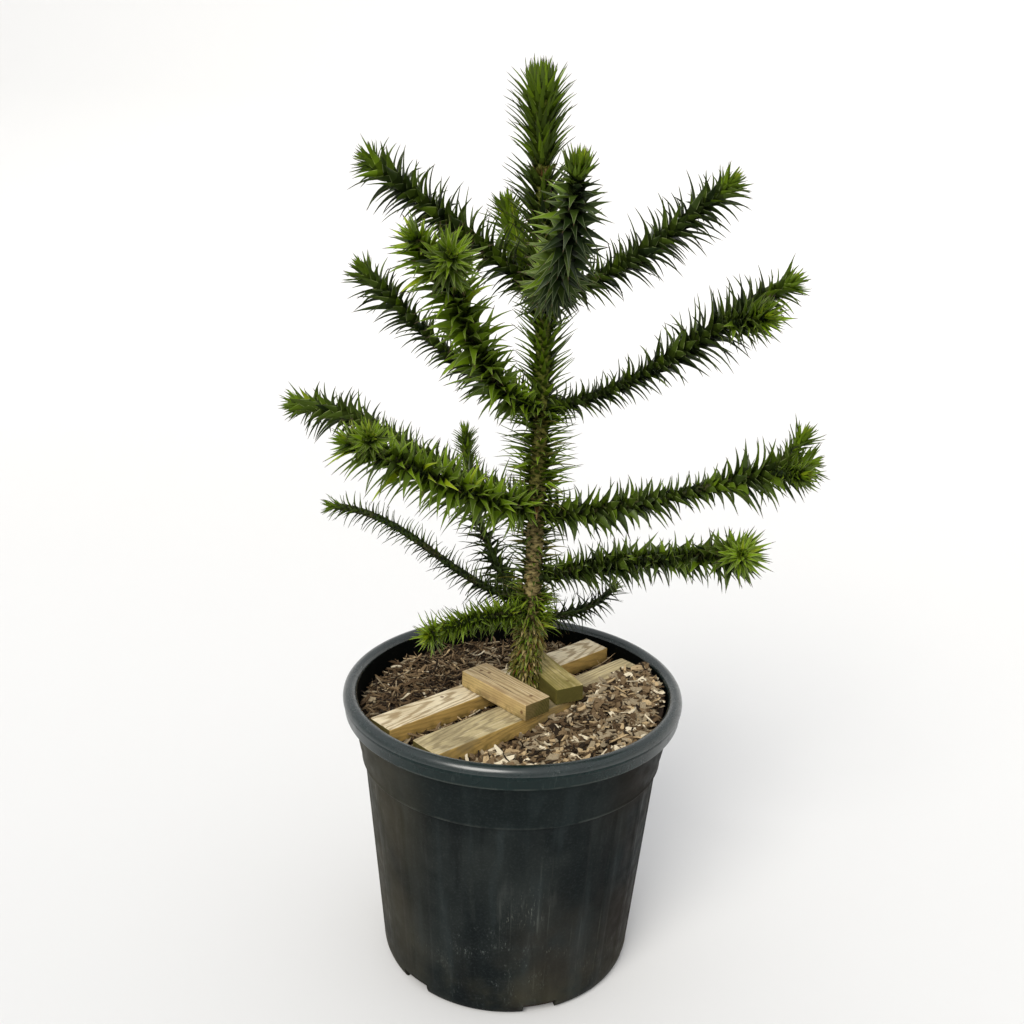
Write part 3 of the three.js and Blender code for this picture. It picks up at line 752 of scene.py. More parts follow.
def channel_boxes(outer, grow):
    """One mesh object of boxes, one along each drainage channel, grown sideways and upwards."""
    points = []
    faces = []
    half = CHANNEL["width"] / 2 + grow
    top = CHANNEL["height"] + grow
    bottom = 1 if grow else -top
    for k in range(CHANNEL["count"]):
        turn = math.radians(CHANNEL["first"] + 360 * k / CHANNEL["count"])
        for radius in (CHANNEL["inner"] - grow, outer):
            for across, height in ((-half, bottom), (half, bottom), (half, top), (-half, top)):
                x = radius * math.cos(turn) - across * math.sin(turn)
                y = radius * math.sin(turn) + across * math.cos(turn)
                points.append((x, y, height))
        faces += loft_faces(2, 4, 8 * k)
    return add_object("channels", make_mesh("channels", points, faces, [], smooth=False))


def build_pot(finishes):
    """The finishes are the wall's, its lining's, the rolled rim's and the rim's from below."""
    outside, inside = pot_profile()
    depths = PANEL_DEPTH * np.random.default_rng(11).uniform(0.35, 1, PANELS)

    def wall_shape(height, angle, row):
        """The panels' slight hollows, which end short of the collar and of the foot."""
        panel = (angle / (2 * math.pi) * PANELS) % PANELS
        across = np.abs(panel % 1 - 0.5) * 2
        hollow = 1 - ease(across, PANEL_SHARE - 0.04, PANEL_SHARE + 0.04)
        depth = depths[panel.astype(int) % PANELS] * hollow
        tall = ease(height, 22, 40) * (1 - ease(height, BAND_HEIGHT - 14, BAND_HEIGHT - 8))
        wobble = 0.5 * np.sin(2 * angle + 0.7) * ease(height, 100, POT_HEIGHT)
        return np.where(row < len(outside), -depth * tall + wobble - 0.5, wobble - 0.5)

    mesh = lathe_mesh("pot_shell", [*outside, *inside], POT_SIDES, finishes, wall_shape)
    pot = add_object("pot_shell", mesh)
    roofs = channel_boxes(BODY_RADIUS, CHANNEL["roof"])
    core = [(radius - 1.6, height) for radius, height in outside if height < 60]
    cut(roofs, add_object("core", lathe_mesh("core", core, 120, [])), "INTERSECT")
    cut(pot, roofs, "UNION")
    cut(pot, channel_boxes(BODY_RADIUS, 0))
    for face in pot.data.polygons:
        inward = face.normal.x * face.center.x + face.normal.y * face.center.y < 0
        if face.center.z > (POT_HEIGHT - (8 if inward else RIM_DEPTH - 0.5)) * MM:
            face.material_index = 2 if face.normal.z > 0.1 else 3
        elif inward and face.center.z > 3 * POT_FLOOR * MM:
            face.material_index = 1
    pot.data.set_sharp_from_angle(angle=math.radians(38))
    finish_piece(pot, ["pot"])


# ---- mulch

ALONG = np.array([math.cos(math.radians(BATTEN_TURN)), math.sin(math.radians(BATTEN_TURN))])
ACROSS = np.array([-ALONG[1], ALONG[0]])


def inside_batten(name, places, margin):
    """Which places lie over a batten, or within a margin of it."""
    turn, length, width, _ = BATTENS[name]
    low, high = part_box(name)
    centre = np.array([(low.x + high.x) / 2, (low.y + high.y) / 2]) / MM
    turn = math.radians(turn)
    off = places[..., :2] - centre
    ahead = np.abs(off @ np.array([math.cos(turn), math.sin(turn)]))
    beside = np.abs(off @ np.array([-math.sin(turn), math.cos(turn)]))
    return (ahead < length / 2 + margin) & (beside < width / 2 + margin)


def mulch_height(places):
    """The mulch's surface: level in the middle, and heaped over the front batten at the right."""
    along = places[..., :2] @ ALONG
    across = places[..., :2] @ ACROSS
    heap = 27 * ease(along, -70, 125) * (1 - ease(across, -66, -34))
    back = 4 * ease(across, 52, 90) * (1 - ease(across, 120, 170))
    return COMPOST_LEVEL - 1 + heap + back + 2.2 * lumps(places, 26, 5)


def wall_radius(height):
    _, inside = pot_profile()
    radii, heights = zip(*reversed(inside))
    return np.interp(height, heights, radii)


def build_compost(earth):
    """The compost in the pot: its walls, its underside and its uneven top under the loose mulch."""
    sides = 180
    angle = circle(sides)
    rings = []
    for height in (POT_FLOOR + 0.3, FOOT_HEIGHT, 120, 220, BAND_HEIGHT, COLLAR_HEIGHT):
        rings.append(turned(wall_radius(height) - 1.5, angle, height))
    for radius in np.linspace(wall_radius(COMPOST_LEVEL) - 2, 1, 64):
        points = turned(radius, angle, 0)
        top = mulch_height(points) - 4
        under = inside_batten("batten_rear", points, 2) | inside_batten("batten_front", points, 2)
        points[:, 2] = np.where(under, np.minimum(top, COMPOST_LEVEL - 1), top)
        rings.append(points)
    mesh = make_mesh("compost_bed", np.array(rings), loft_faces(len(rings), sides), [earth])
    finish_piece(add_object("compost_bed", mesh), ["bark_mulch"])


def turns(angles, axis):
    """A rotation matrix for each angle, round the axis of that number."""
    one, two = (axis + 1) % 3, (axis + 2) % 3
    matrices = np.tile(np.eye(3), (len(angles), 1, 1))
    matrices[:, one, one] = matrices[:, two, two] = np.cos(angles)
    matrices[:, two, one] = np.sin(angles)
    matrices[:, one, two] = -np.sin(angles)
    return matrices


def build_flakes(name, rng, centres, length, width, thickness, tilt, bend, finishes, shares, stations):
    """One mesh of bent, jagged splinters of wood or bark, each in one of the finishes."""
    count = len(centres)
    long, wide, thick, bent = [sizes[:, None, None] for sizes in (length, width, thickness, bend)]
    along = np.linspace(-0.5, 0.5, stations)[None, :, None] * long
    narrow = rng.uniform(0.55, 1, (count, stations, 1))
    narrow[:, (0, -1)] *= rng.uniform(0.3, 0.9, (count, 2, 1))
    side = np.array([-1, 1, 1, -1]) * narrow * wide / 2
    side = side + rng.normal(0, 0.07, side.shape) * wide
    up = np.array([-1, -1, 1, 1]) * thick / 2 + bent * (2 * along / long) ** 2
    ragged = rng.normal(0, 0.05, (count, stations, 4)) * long
    local = np.stack([along + ragged, side, up + 0 * side], -1)

    yaw = rng.uniform(0, 2 * math.pi, count)
    pitch = rng.normal(0, math.radians(tilt), count)
    roll = rng.normal(0, math.radians(tilt * 1.3), count)
    turn = turns(yaw, 2) @ turns(pitch, 1) @ turns(roll, 0)
    points = np.einsum("nij,nabj->nabi", turn, local) + centres[:, None, None, :]

    # No flake reaches through the pot's wall.
    reach = np.hypot(points[..., 0], points[..., 1]).reshape(count, -1).max(1)
    limit = wall_radius(POT_HEIGHT - 22) - 2
    pull = np.minimum(1, limit / reach)
    points[..., :2] -= (centres[:, :2] * (1 - pull)[:, None])[:, None, None, :]

    faces = []
    for k in range(count):
        faces += loft_faces(stations, 4, k * stations * 4)
    faces_each = (stations - 1) * 4 + 2
    colour = rng.choice(len(finishes), count, p=shares)
    mesh = make_mesh(name, points, faces, finishes, np.repeat(colour, faces_each), smooth=False)
    finish_piece(add_object(name, mesh))


def scatter(rng, count, wanted, layer):
    """Places on the mulch, over the whole pot, where the wanted test holds."""
    radius = (wall_radius(COMPOST_LEVEL) - 5) * np.sqrt(rng.uniform(0, 1, count))
    places = turned(radius, rng.uniform(0, 2 * math.pi, count), 0)
    places = places[wanted(places)]
    places[:, 2] = mulch_height(places) + rng.uniform(*layer, len(places))
    return places


def clear_of_battens(places, margin):
    heaped = mulch_height(places) > COMPOST_LEVEL + BATTEN_THICKNESS - 1
    on_front = inside_batten("batten_front", places, margin) & ~heaped
    return ~on_front & ~inside_batten("batten_rear", places, margin)


def shredded(places):
    """Where the mulch is dark shreds of bark: behind the trunk."""
    behind = places[:, :2] @ ACROSS > -26 + 8 * lumps(places, 20, 8)
    return clear_of_battens(places, 1.5) & behind


def chipped(places):
    """Where the mulch is paler chips of wood: in front of the trunk."""
    before = places[:, :2] @ ACROSS < -18 + 8 * lumps(places, 20, 8)
    return clear_of_battens(places, 1) & before


def build_mulch():
    finishes = [rough_finish(f"mulch_{name}", *tones) for name, tones in MULCH_TONES.items()]
    pale = finishes[3:]
    build_compost(rough_finish("compost", (24, 18, 13), (60, 46, 34), grain=260))

    rng = np.random.default_rng(21)
    centres = scatter(rng, 4300, shredded, (-2, 4))
    count = len(centres)
    length = rng.gamma(4, 4.2, count) + 6
    width = np.clip(rng.gamma(3, 0.85, count), 1, 6)
    thickness = rng.uniform(0.6, 1.6, count)
    bend = rng.normal(0, 0.09, count) * length
    shares = [0.24, 0.35, 0.24, 0.11, 0.05, 0.01]
    build_flakes("bark_shreds", rng, centres, length, width, thickness, 15, bend, finishes, shares, 5)

    rng = np.random.default_rng(22)
    centres = scatter(rng, 6500, chipped, (-3, 4))
    count = len(centres)
    length = rng.gamma(5, 1.9, count) + 5
    width = np.clip(length * rng.uniform(0.16, 0.7, count), 1.6, 10)
    thickness = rng.uniform(0.7, 2, count)
    bend = rng.normal(0, 0.06, count) * length
    shares = [0.15, 0.23, 0.24, 0.21, 0.11, 0.06]
    build_flakes("wood_chips", rng, centres, length, width, thickness, 24, bend, finishes, shares, 4)

    # A few big pale chips and, on the shreds behind, a few straws
    rng = np.random.default_rng(23)
    centres = scatter(rng, 70, chipped, (1.5, 5))
    centres = np.concatenate([centres, [[57, -74, COMPOST_LEVEL + 6]]])
    count = len(centres)
    length = rng.uniform(11, 19, count)
    width = length * rng.uniform(0.45, 0.85, count)
    thickness = rng.uniform(1.5, 3, count)
    bend = rng.normal(0, 0.04, count) * length
    build_flakes("big_chips", rng, centres, length, width, thickness, 13, bend, pale, [0.3, 0.3, 0.4], 4)
    centres = np.array([[-34, 128, 0], [-22, 120, 0], [-44, 112, 0.0]])
    centres[:, 2] = mulch_height(centres) + 5
    count = len(centres)
    length = rng.uniform(44, 62, count)
    width = rng.uniform(1.4, 2.2, count)
    thickness = rng.uniform(0.9, 1.3, count)
    bend = rng.normal(0, 2, count)
    build_flakes("straws", rng, centres, length, width, thickness, 5, bend, pale[:2], [0.5, 0.5], 7)


# ---- battens


def rounded_rectangle(width, height, radius, corner_steps=4, side_steps=6):
    """Points anticlockwise round a rectangle with rounded corners, centred on the origin."""
    right, top = width / 2 - radius, height / 2 - radius
    points = []
    for x, y, first in ((right, -top, -90), (right, top, 0), (-right, top, 90), (-right, -top, 180)):
        for turn in np.radians(np.linspace(first, first + 90, corner_steps)):
            points.append((x + radius * math.cos(turn), y + radius * math.sin(turn)))
    outline = []
    for start, end in zip(points, points[1:] + points[:1]):
        long_side = math.dist(start, end) > 3 * radius
        for share in np.linspace(0, 1, side_steps if long_side else 1, endpoint=False):
            outline.append((mix(start[0], end[0], share), mix(start[1], end[1], share)))
    return np.array(outline)


def build_batten(name, seed, finish):
    """One sawn batten: rounded edges, square-sawn ends, a slight twist and an uneven surface."""
    turn, length, width, slot = BATTENS[name]
    low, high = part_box(name)
    outline = rounded_rectangle(width - 0.8, BATTEN_THICKNESS - 0.8, 1.1)
    ends = np.array([0, 0.7, 2])
    middle = np.linspace(6, length - 6, round(length / 5))
    stations = np.concatenate([ends, middle, length - ends[::-1]])
    shrink = np.interp(np.minimum(stations, length - stations), ends, [0.94, 0.985, 1])[:, None]
    points = np.zeros((len(stations), len(outline), 3))
    points[..., 0] = (stations - length / 2)[:, None]
    points[..., 1] = outline[:, 0] * mix(1, shrink, 0.5)
    points[..., 2] = outline[:, 1] * shrink
    outward = unit(points * np.array([0, 1, 1.5]))
    rough = 0.25 * lumps(points, 34, seed) + 0.12 * lumps(points * [0.2, 1, 1], 3, seed + 1)
    points += outward * rough[..., None]
    points[..., 1] += 0.35 * np.sin(points[..., 0] / 90 + seed)
    place = Matrix.Translation((low + high) / 2) @ Matrix.Rotation(math.radians(turn), 4, "Z")
    mesh = make_mesh("pine_" + name, points, loft_faces(len(stations), len(outline)), [finish])
    mesh.set_sharp_from_angle(angle=math.radians(36))
    finish_piece(add_object("pine_" + name, mesh, place), [name])


def build_battens():
    finishes = {
        "batten_rear": sawn_pine(
            "bleached_pine", (228, 214, 182), (140, 116, 78), (196, 162, 92), ((150, 122, 70), 0.3),
            pith=(-40, 6, -20), knots=[(-88, 9, 11), (60, -6, 11)],
        ),
        "batten_front": sawn_pine(
            "greyed_pine", (192, 176, 134), (136, 122, 90), (190, 158, 90), ((126, 114, 86), 0.5),
            pith=(30, -14, -24), knots=[(-20, 5, 11)],
        ),
        "batten_short_left": sawn_pine(
            "fresh_pine", (200, 178, 136), (152, 126, 88), (204, 178, 120), ((162, 132, 92), 0.4),
            pith=(10, -30, -30), knots=[(-48, 0, 11.5), (-36, 4, 11.5), (47, 3, 11.5), (56, -21, -1)],
            cracks=[(-32, -6, 11.5), (20, -9.5, 11.5)],
        ),
        "batten_short_right": sawn_pine(
            "mossy_pine", (180, 164, 108), (128, 114, 68), (122, 110, 50), ((120, 112, 58), 0.5),
            pith=(0, 26, -30), knots=[(46, 6, 11.5)], moss=(118, 110, 48),
        ),
    }
    for seed, (name, finish) in enumerate(finishes.items()):
        build_batten(name, 31 + seed, finish)


# ---- trunk and limbs


class Line:
    """A limb's centre line: even stations, each with the directions ahead, to the side and up."""

    def __init__(self, places, ahead, side, length):
        self.length = length
        self.parts = [places, ahead, side, np.cross(ahead, side)]

    def at(self, distance):
        """Place, ahead, side and up at a distance along the line, which runs on straight past its end."""
        distance = np.asarray(distance, float)
        steps = len(self.parts[0]) - 1
        index = np.clip(distance / self.length, 0, 1) * steps
        low = np.minimum(index.astype(int), steps - 1)
        share = (index - low)[..., None]
        place, ahead, side, up = [mix(part[low], part[low + 1], share) for part in self.parts]
        beyond = np.maximum(distance - self.length, 0)[..., None]
        return place + beyond * ahead, unit(ahead), unit(side), unit(up)


def bough_line(start, azimuth, sweep, rise, length, hook=0, steps=48):
    """A line that leaves its start in a plan direction and follows three slopes.

    It sweeps evenly to one side, and hooks further round near its tip.
    """
    t = np.linspace(0, 1, steps + 1)
    first, middle, last = rise
    slope = first * (1 - t) * (1 - 2 * t) + 4 * middle * t * (1 - t) + last * t * (2 * t - 1)
    slope = np.radians(slope)
    heading = np.radians(azimuth + sweep * t + hook * ease(t, 0.72, 1))
    ahead = turned(np.cos(slope), heading, np.sin(slope))
    side = np.stack([-np.sin(heading), np.cos(heading), np.zeros(steps + 1)], -1)
    places = np.array(start) + np.vstack([np.zeros(3), np.cumsum(ahead[:-1] * length / steps, 0)])
    return Line(places, ahead, side, length)


def trunk_centre(height):
    x = np.interp(height, TRUNK_HEIGHT, TRUNK_X)
    return np.stack([x, TRUNK_Y + 0 * x, np.asarray(height, float)], -1)


def trunk_line():
    places = trunk_centre(np.linspace(COMPOST_LEVEL, TRUNK_HEIGHT[-1], 80))
    ahead = unit(np.gradient(places, axis=0))
    side = unit(np.cross(ahead, np.array([0.0, -1.0, 0.0])))
    return Line(places, ahead, side, TRUNK_HEIGHT[-1] - COMPOST_LEVEL)


def trunk_radius(distance):
    return np.interp(distance + COMPOST_LEVEL, TRUNK_HEIGHT, TRUNK_RADIUS)


def stem_radius(distance):
    """The radius of the leader's green stem, by distance along the trunk's line."""
    return np.interp(distance + COMPOST_LEVEL, LEADER_HEIGHTS, LEADER_RADIUS)


def limb_radius(line, distance):
    bare = min(LIMB_LENGTH / line.length, 0.4) * line.length
    stops = [0, bare, line.length]
    return np.interp(distance, stops, [LIMB_FOOT_RADIUS, LIMB_END_RADIUS, LIMB_TIP_RADIUS])


def scar_relief(distance, angle, pitch, radius, tall, wide):
    """The low cushions that fallen leaves leave on the bark, in the same spiral as the leaves."""
    relief = np.zeros((len(distance), len(angle)))
    for k in range(int(distance[-1] / pitch)):
        near = np.abs(distance - k * pitch) < 2.5 * tall
        along = (distance[near] - k * pitch) / tall
        turn = (angle - k * GOLDEN_ANGLE + math.pi) % (2 * math.pi) - math.pi
        off = along[:, None] ** 2 + (turn[None, :] * radius / wide) ** 2
        relief[near] = np.maximum(relief[near], np.exp(-off * off))
    return relief


def limb_tube(line, distance, sides, radius, relief):
    """Rings of points round a line, at the radius of each place plus the relief of each point."""
    place, _, side, up = line.at(distance)
    angle = circle(sides)
    out = np.cos(angle)[None, :, None] * side[:, None] + np.sin(angle)[None, :, None] * up[:, None]
    return place[:, None] + (radius[:, None] + relief(distance, angle))[..., None] * out


def trunk_relief(distance, angle):
    """The flare at the trunk's foot, and leaf scars that fade with height."""
    flare = ease(distance, 42, 0)[:, None] * (1.4 * np.cos(5 * angle + 0.6) + 0.8 * np.cos(3 * angle))
    fade = np.interp(distance, [0, 500, 760], [1, 0.8, 0.3])[:, None]
    return flare + 2.1 * scar_relief(distance, angle, 2.1, 11, 3.2, 6.5) * fade - 1


def limb_relief(distance, angle):
    return 1.1 * scar_relief(distance, angle, 1.6, 5, 2.4, 3.6) - 0.4


def build_trunk(bark):
    line = trunk_line()
    distance = np.concatenate([np.arange(0, line.length - 4, 1.8), [line.length - 3, line.length - 1]])
    radius = trunk_radius(distance)
    leading = distance + COMPOST_LEVEL > LEADER_FROM
    radius = np.where(leading, np.maximum(radius, stem_radius(distance) - 1), radius)
    radius[-1] *= 0.5
    points = limb_tube(line, distance, TRUNK_SIDES, radius, trunk_relief)
    points += 0.5 * unit(points - line.at(distance)[0][:, None]) * lumps(points, 14, 41)[..., None]
    mesh = make_mesh("trunk_bark", points, loft_faces(len(distance), TRUNK_SIDES), [bark])
    finish_piece(add_object("trunk_bark", mesh), ["trunk"])


def build_limbs(lines, bark):
    """The boughs' and shoots' wood, right out to their tips, as one mesh."""
    points = []
    faces = []
    first = 0
    for name, line in lines.items():
        habit = BOUGH_HABITS.get(name, HABIT) if name in BOUGHS else SHOOT_HABIT
        distance = np.arange(0, line.length - habit["bud"] - 1, 2.6)
        radius = limb_radius(line, distance)
        if name in BOUGHS:
            radius = radius + 1.6 * (1 - ease(distance, 8, 24))
        points.append(limb_tube(line, distance, LIMB_SIDES, radius, limb_relief).reshape(-1, 3))
        faces += loft_faces(len(distance), LIMB_SIDES, first)
        first += len(distance) * LIMB_SIDES
    mesh = make_mesh("bough_bark", np.concatenate(points), faces, [bark])
    finish_piece(add_object("bough_bark", mesh), ["bough_" + name for name in BOUGHS])


# ---- leaves

# A leaf is a keeled blade: rings of six points from its foot to its spine, as shares of its length and
# of its half width. Going round a ring: left edge, inside of the left margin, middle of the upper face,
# inside of the right margin, right edge, keel.
LEAF_PLACES = np.array([0, 0.1, 0.24, 0.4, 0.57, 0.74, 0.88])
LEAF_WIDTHS = np.array([0.86, 1, 0.87, 0.66, 0.44, 0.25, 0.11])
LEAF_RINGS = len(LEAF_PLACES)
RING_POINTS = 6
LEAF_TIP = LEAF_RINGS * RING_POINTS
LEAF_POINTS = LEAF_TIP + 1
LEAF_MARGIN = 0.55
LEAF_LIFT = 0.3  # how far a leaf's edges stand above its middle, as a share of its half width
LEAF_PARTS = 4
FACE, UNDER, MARGIN, SHADED_FOOT = range(LEAF_PARTS)
# Each leaf's first two rows, and the cap at its foot, take the foot finish, a darker copy painted as shade.
QUAD_PARTS = 2 * [SHADED_FOOT] * RING_POINTS + (LEAF_RINGS - 3) * [MARGIN, FACE, FACE, MARGIN, UNDER, UNDER]


class Leaves:
    """A growing list of leaves, made into one mesh at the end."""

    def __init__(self):
        self.points = []
        self.shades = []

    def add(self, base, along, across, length, width, taper, bend, droop, roll, twist, shades):
        """Adds leaves: one taper, and arrays of foot, directions, sizes, curve, sag, turns and shade."""
        steps = np.append(LEAF_PLACES, 1)
        above = np.cross(along, across)
        turn = (bend[:, None] * steps**0.75)[..., None]
        ahead = np.cos(turn) * along[:, None] + np.sin(turn) * above[:, None]
        ahead[..., 2] -= droop[:, None] * steps**1.5
        ahead = unit(ahead)
        middles = (ahead[:, 1:] + ahead[:, :-1]) / 2 * np.diff(steps)[None, :, None]
        travel = np.concatenate([np.zeros((len(base), 1, 3)), np.cumsum(middles, 1)], 1)
        centre = base[:, None] + length[:, None, None] * travel
        level_above = unit(np.cross(ahead, across[:, None] + 0 * ahead))
        level_side = np.cross(level_above, ahead)
        turn = (roll[:, None] + twist[:, None] * steps)[..., None]
        side = (np.cos(turn) * level_side + np.sin(turn) * level_above)[:, :-1, None]
        above = (np.cos(turn) * level_above - np.sin(turn) * level_side)[:, :-1, None]

        half = (width[:, None] / 2 * LEAF_WIDTHS**taper)[..., None]
        margin = np.minimum(LEAF_MARGIN, 0.35 * half)
        edge = LEAF_LIFT * half
        fold = LEAF_LIFT * (half - margin) * 0.8
        sides = np.concatenate([-half, margin - half, 0 * half, half - margin, half, 0 * half], -1)
        ups = np.concatenate([edge, fold, 0.04 * half, fold, edge, -0.55 - 0.17 * half], -1)
        rings = centre[:, :-1, None] + sides[..., None] * side + ups[..., None] * above
        self.points.append(np.concatenate([rings.reshape(len(base), -1, 3), centre[:, -1:]], 1))
        self.shades.append(shades)

    def build(self, name, finishes, stands_for):
        points = np.concatenate(self.points)
        shades = np.concatenate(self.shades)
        count = len(points)
        starts = (np.arange(count) * LEAF_POINTS)[:, None, None]
        near = np.arange(RING_POINTS)
        beside = (near + 1) % RING_POINTS
        rows = (np.arange(LEAF_RINGS - 1) * RING_POINTS)[:, None]
        corners = [near, near + RING_POINTS, beside + RING_POINTS, beside]
        quads = np.stack([rows + corner for corner in corners], -1).reshape(-1, 4)
        last = LEAF_TIP - RING_POINTS
        tips = np.stack([last + near, np.full(RING_POINTS, LEAF_TIP), last + beside], -1)
        faces = (starts + quads).reshape(-1, 4).tolist()
        faces += (starts + tips).reshape(-1, 3).tolist()
        faces += (starts[:, 0] + near).tolist()
        spine = LEAF_PARTS * len(SHADES)
        slots = np.concatenate([
            (LEAF_PARTS * shades[:, None] + QUAD_PARTS).ravel(),
            np.full(count * RING_POINTS, spine),
            LEAF_PARTS * shades + SHADED_FOOT,
        ])
        used, slots = np.unique(slots, return_inverse=True)
        mesh = make_mesh(name, points, faces, [finishes[k] for k in used], slots)
        ends = np.zeros(len(mesh.edges) * 2, np.int32)
        mesh.edges.foreach_get("vertices", ends)
        local = ends.reshape(-1, 2) % LEAF_POINTS
        edge = np.isin(local % RING_POINTS, (0, 4)) | (local == LEAF_TIP)
        mesh.edges.foreach_set("use_edge_sharp", edge.all(1))
        finish_piece(add_object(name, mesh), stands_for)


def spiral(first, last, spacing_at):
    """Distances along a shoot for one leaf after another, and the angle that each stands at."""
    distances = []
    distance = first
    while distance < last:
        distances.append(distance)
        distance += spacing_at(distance)
    distances = np.array(distances)
    return distances, np.arange(len(distances)) * GOLDEN_ANGLE


def pick_shades(rng, freshness, dying):
    """A shade for each leaf from how fresh it is, 0 to 1, and how likely it is to be dying."""
    count = len(freshness)
    score = np.clip(freshness + rng.normal(0, 0.11, count), 0, 0.999)
    places = [list(SHADES).index(name) for name in DYING]
    spent = rng.choice(places, count, p=list(DYING.values()))
    return np.where(rng.uniform(size=count) < dying, spent, (score * LIVING).astype(int))


def clothe(leaves, line, start, tip, reach_at, rng, habit, wood_at, fresh=0, old=0, grows=True):
    """Sets leaves in a spiral along a line from a start to its growing tip.

    Each leaf leaves the wood leaning forward and curves outward. Towards a growing tip they stand
    closer, lean further forward and are shorter. On a level shoot those above stand up and those below
    hang.
    """
    end = tip - habit["bud"] if grows else tip

    def behind(s):
        """How far back from the growing tip a leaf counts as standing; far back on old wood."""
        return (end - s) / habit["unfurl"] if grows else 400 + 0 * s

    def spacing_at(s):
        return habit["spacing"] * np.interp(behind(s), [0, 44], [habit["crowd"], 1])

    s, angle = spiral(start, end + habit["crest"][0][0] if grows else end, spacing_at)
    count = len(s)
    angle = angle + rng.uniform(0, 2 * math.pi) + rng.normal(0, 0.13, count)
    place, ahead, side, up = line.at(s)
    radial = np.cos(angle)[:, None] * side + np.sin(angle)[:, None] * up
    upward = radial[:, 2]
    away = behind(s)
    age = ease(away, 0, 90)

    lean = habit["lean"] * upward * age
    spread = np.interp(away, [0, 6, 16, 32, 60, 105], [0.05, 0.24, 0.5, 0.72, 0.9, 1])
    spread = spread ** (1 / habit["open"])
    uneven = habit["ragged"] * ease(away, 0, 25)
    first = (1.25 * spread - 0.25) * habit["first"] + 0.4 * lean
    first = np.radians(first + (2 + 3 * uneven) * rng.normal(0, 1, count))
    last = spread * habit["last"] + lean
    last = np.radians(last + (4 + 7 * uneven) * rng.normal(0, 1, count))
    droop = habit["hang"] * age * (0.5 - 0.5 * upward) * rng.uniform(0.5, 1.5, count)
    wood = wood_at(s)
    standing = np.sin(mix(first, last, 0.6))
    below = np.maximum(-upward, 0) * age
    length = (reach_at(s) * (1.16 + 0.14 * below) - wood) / np.maximum(standing, 0.64)
    length = np.clip(length, min(20, habit["longest"]), habit["longest"])
    length = length * np.interp(away, [0, 12, 34, 60], [0.56, 0.66, 0.88, 1])
    length = length * (1 + (0.05 + 0.05 * uneven) * rng.normal(0, 1, count))
    width = np.minimum(habit["slender"] * length, habit["widest"]) * rng.normal(1, 0.12, count)
    width = width * np.interp(away, [0, 20, 50], [habit["crown"], mix(habit["crown"], 1, 0.6), 1])

    along = np.cos(first)[:, None] * ahead + np.sin(first)[:, None] * radial
    across = np.cross(ahead, radial)
    foot = place + ((wood - 1) * np.interp(away, [0, 9], [0.25, 1]))[:, None] * radial
    # Painted light: leaves on a shoot's upper side, and those facing the light where the habit asks, get
    # fresher, lighter shades.
    freshness = 0.31 + 0.35 * fresh + 0.08 * upward + habit["sunny"] * np.maximum(radial @ PAINTED_SUNLIGHT_FROM, 0)
    freshness = freshness + habit["glow"] * np.interp(away, [0, 12, 30, 80], [0.66, 0.5, 0.2, 0])
    shades = pick_shades(rng, freshness, old * age)
    roll = rng.normal(0, habit["roll"], count)
    twist = rng.normal(0, habit["twist"], count)
    leaves.add(foot, along, across, length, width, habit["taper"], first - last, droop, roll, twist, shades)
    for low, high, reach, wood, fresh, crest in habit["crest"] if grows else ():
        clothe(
            leaves, line, end + low, end + high, steady(reach), rng, crest, steady(wood), fresh,
            grows=False,
        )


def clothe_bough(leaves, line, reach, rng, habit, fresh, start):
    """Clothes a bough or shoot whose reach is given at even places, a tenth to nine tenths along it."""
    places = np.linspace(0.1, 0.9, len(reach)) * line.length
    clothe(
        leaves, line, start, line.length, lambda s: np.interp(s, places, reach), rng, habit,
        lambda s: limb_radius(line, s), fresh,
    )


def build_foliage(lines, finishes):
    for seed, whorl in enumerate(WHORLS):
        leaves = Leaves()
        names = [name for name in BOUGHS if name.startswith(whorl + "_")]
        for k, name in enumerate(names):
            rng = np.random.default_rng(100 * seed + k + 1)
            reach, fresh = BOUGHS[name][5:]
            habit = BOUGH_HABITS.get(name, HABIT)
            clothe_bough(leaves, lines[name], reach, rng, habit, fresh, habit["start"])
        leaves.build(f"leaves_{whorl}", finishes, ["foliage_" + name for name in names])

    leaves = Leaves()
    for k, name in enumerate(SIDE_SHOOTS):
        rng = np.random.default_rng(700 + k)
        clothe_bough(leaves, lines[name], SIDE_SHOOTS[name][5], rng, SHOOT_HABIT, SHOOT_FRESHNESS, 6)
    leaves.build("leaves_side_shoots", finishes, ["foliage_" + n for n in SIDE_SHOOTS])


def build_trunk_leaves(finishes):
    trunk = trunk_line()
    leaves = Leaves()
    for k, (low, high, reach, fresh, old, habit) in enumerate([*SLEEVES.values(), *COLLARS]):
        rng = np.random.default_rng(800 + k)
        clothe(
            leaves, trunk, low - COMPOST_LEVEL, high - COMPOST_LEVEL, steady(reach), rng, habit,
            trunk_radius, fresh, old, grows=False,
        )
    leaves.build("leaves_trunk", finishes, list(SLEEVES))

    foot, year_end, top = [height - COMPOST_LEVEL for height in (LEADER_FROM, YEAR_END, TREE_TOP)]

    def reach_at(s):
        """Short by last year's end, both below it and above it."""
        return LEADER_REACH * (0.7 + 0.3 * ease(np.abs(s - year_end), 4, 24))

    leaves = Leaves()
    rng = np.random.default_rng(850)
    clothe(
        leaves, trunk, foot, year_end - 8, reach_at, rng, LAST_YEAR_HABIT, stem_radius, 0.3, grows=False
    )
    clothe(leaves, trunk, year_end + 4, top, reach_at, rng, LEADER_HABIT, stem_radius, 0.6)
    clothe(
        leaves, trunk, year_end - 5, year_end + 3, steady(BUD_SCALE_REACH), rng, BUD_SCALE_HABIT,
        stem_radius, old=1, grows=False,
    )
    leaves.build("leaves_leader", finishes, ["trunk_foliage_leader"])


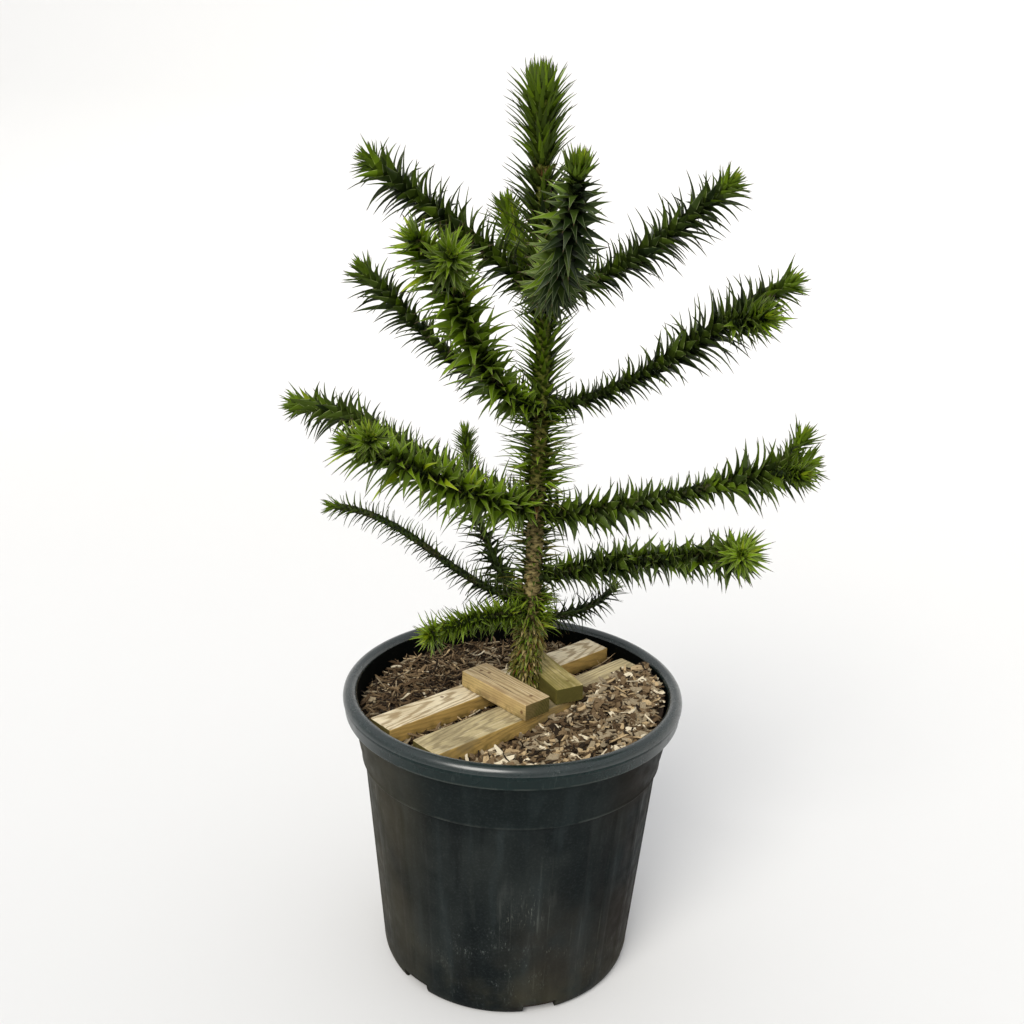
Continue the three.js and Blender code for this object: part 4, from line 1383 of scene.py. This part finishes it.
def build_tree():
    lines = {}
    for name, (height, azimuth, sweep, rise, length, _, _) in BOUGHS.items():
        lines[name] = bough_line(trunk_centre(height), azimuth, sweep, rise, length, HOOKS.get(name, 0))
    for name, (bough, at, turn, rise, length, _) in SIDE_SHOOTS.items():
        _, azimuth, sweep, _, bough_length, _, _ = BOUGHS[bough]
        start = lines[bough].at(at * bough_length)[0]
        lines[name] = bough_line(start, azimuth + sweep * at + turn, 0, (rise,) * 3, length)
    build_trunk(trunk_bark())
    build_limbs(lines, limb_bark())
    finishes = leaf_finishes()
    build_foliage(lines, finishes)
    build_trunk_leaves(finishes)


# ---- studio

FLOOR_RADIUS = 3200
FLOOR_CURVE = 1500
FLOOR_DROP = -0.5
FLOOR_EDGE = (4800, 2600)
CAMERA_PLACE = (0, -1.387, 1.089)
CAMERA_LENS = 40.43
CAMERA_TURNS = ((0.34, "Z"), (71.78, "X"), (1.74, "Z"))
KEY_LIGHT_FROM = (-0.65, -1.55, 1.6)


def build_floor():
    """A pale floor that curves up into a round backdrop well outside every view."""
    profile = [(0.01, FLOOR_DROP), (FLOOR_RADIUS, FLOOR_DROP)]
    for turn in np.radians(np.linspace(7, 80, 12)):
        across = FLOOR_RADIUS + FLOOR_CURVE * math.sin(turn)
        profile.append((across, FLOOR_DROP + FLOOR_CURVE * (1 - math.cos(turn))))
    profile.append(FLOOR_EDGE)
    look = Finish("studio_floor", 0.9, 0.1)
    look.set("Base Color", (0.78, 0.78, 0.78, 1))
    mesh = lathe_mesh("studio_floor", profile, 96, [look.material], ends=False)
    add_object("studio_floor", mesh)


def build_studio():
    build_floor()
    world = bpy.data.worlds.new("studio")
    world.use_nodes = True
    background = world.node_tree.nodes["Background"].inputs
    background["Color"].default_value = (0.97, 0.98, 1, 1)
    background["Strength"].default_value = 0.8
    scene.world = world
    lamp = bpy.data.lights.new("key_light", "SUN")
    lamp.angle = math.radians(32)
    lamp.energy = 2.2
    lamp.color = (1, 0.97, 0.91)
    key = add_object("key_light", lamp)
    key.rotation_euler = Vector(KEY_LIGHT_FROM).to_track_quat("Z", "Y").to_euler()
    scene.view_settings.view_transform = "Standard"


def add_camera():
    camera = bpy.data.cameras.new("camera")
    camera.sensor_width = 36
    camera.lens = CAMERA_LENS
    camera.clip_end = 100
    place = Matrix.Translation(CAMERA_PLACE)
    for angle, axis in CAMERA_TURNS:
        place = place @ Matrix.Rotation(math.radians(angle), 4, axis)
    scene.camera = add_object("camera", camera, place)


build_pot([pot_plastic(), pot_shaded_lining(), pot_rim("pot_rim", 0.8), pot_rim("pot_rim_under", 0.15)])
build_mulch()
build_battens()
build_tree()
build_studio()
add_camera()
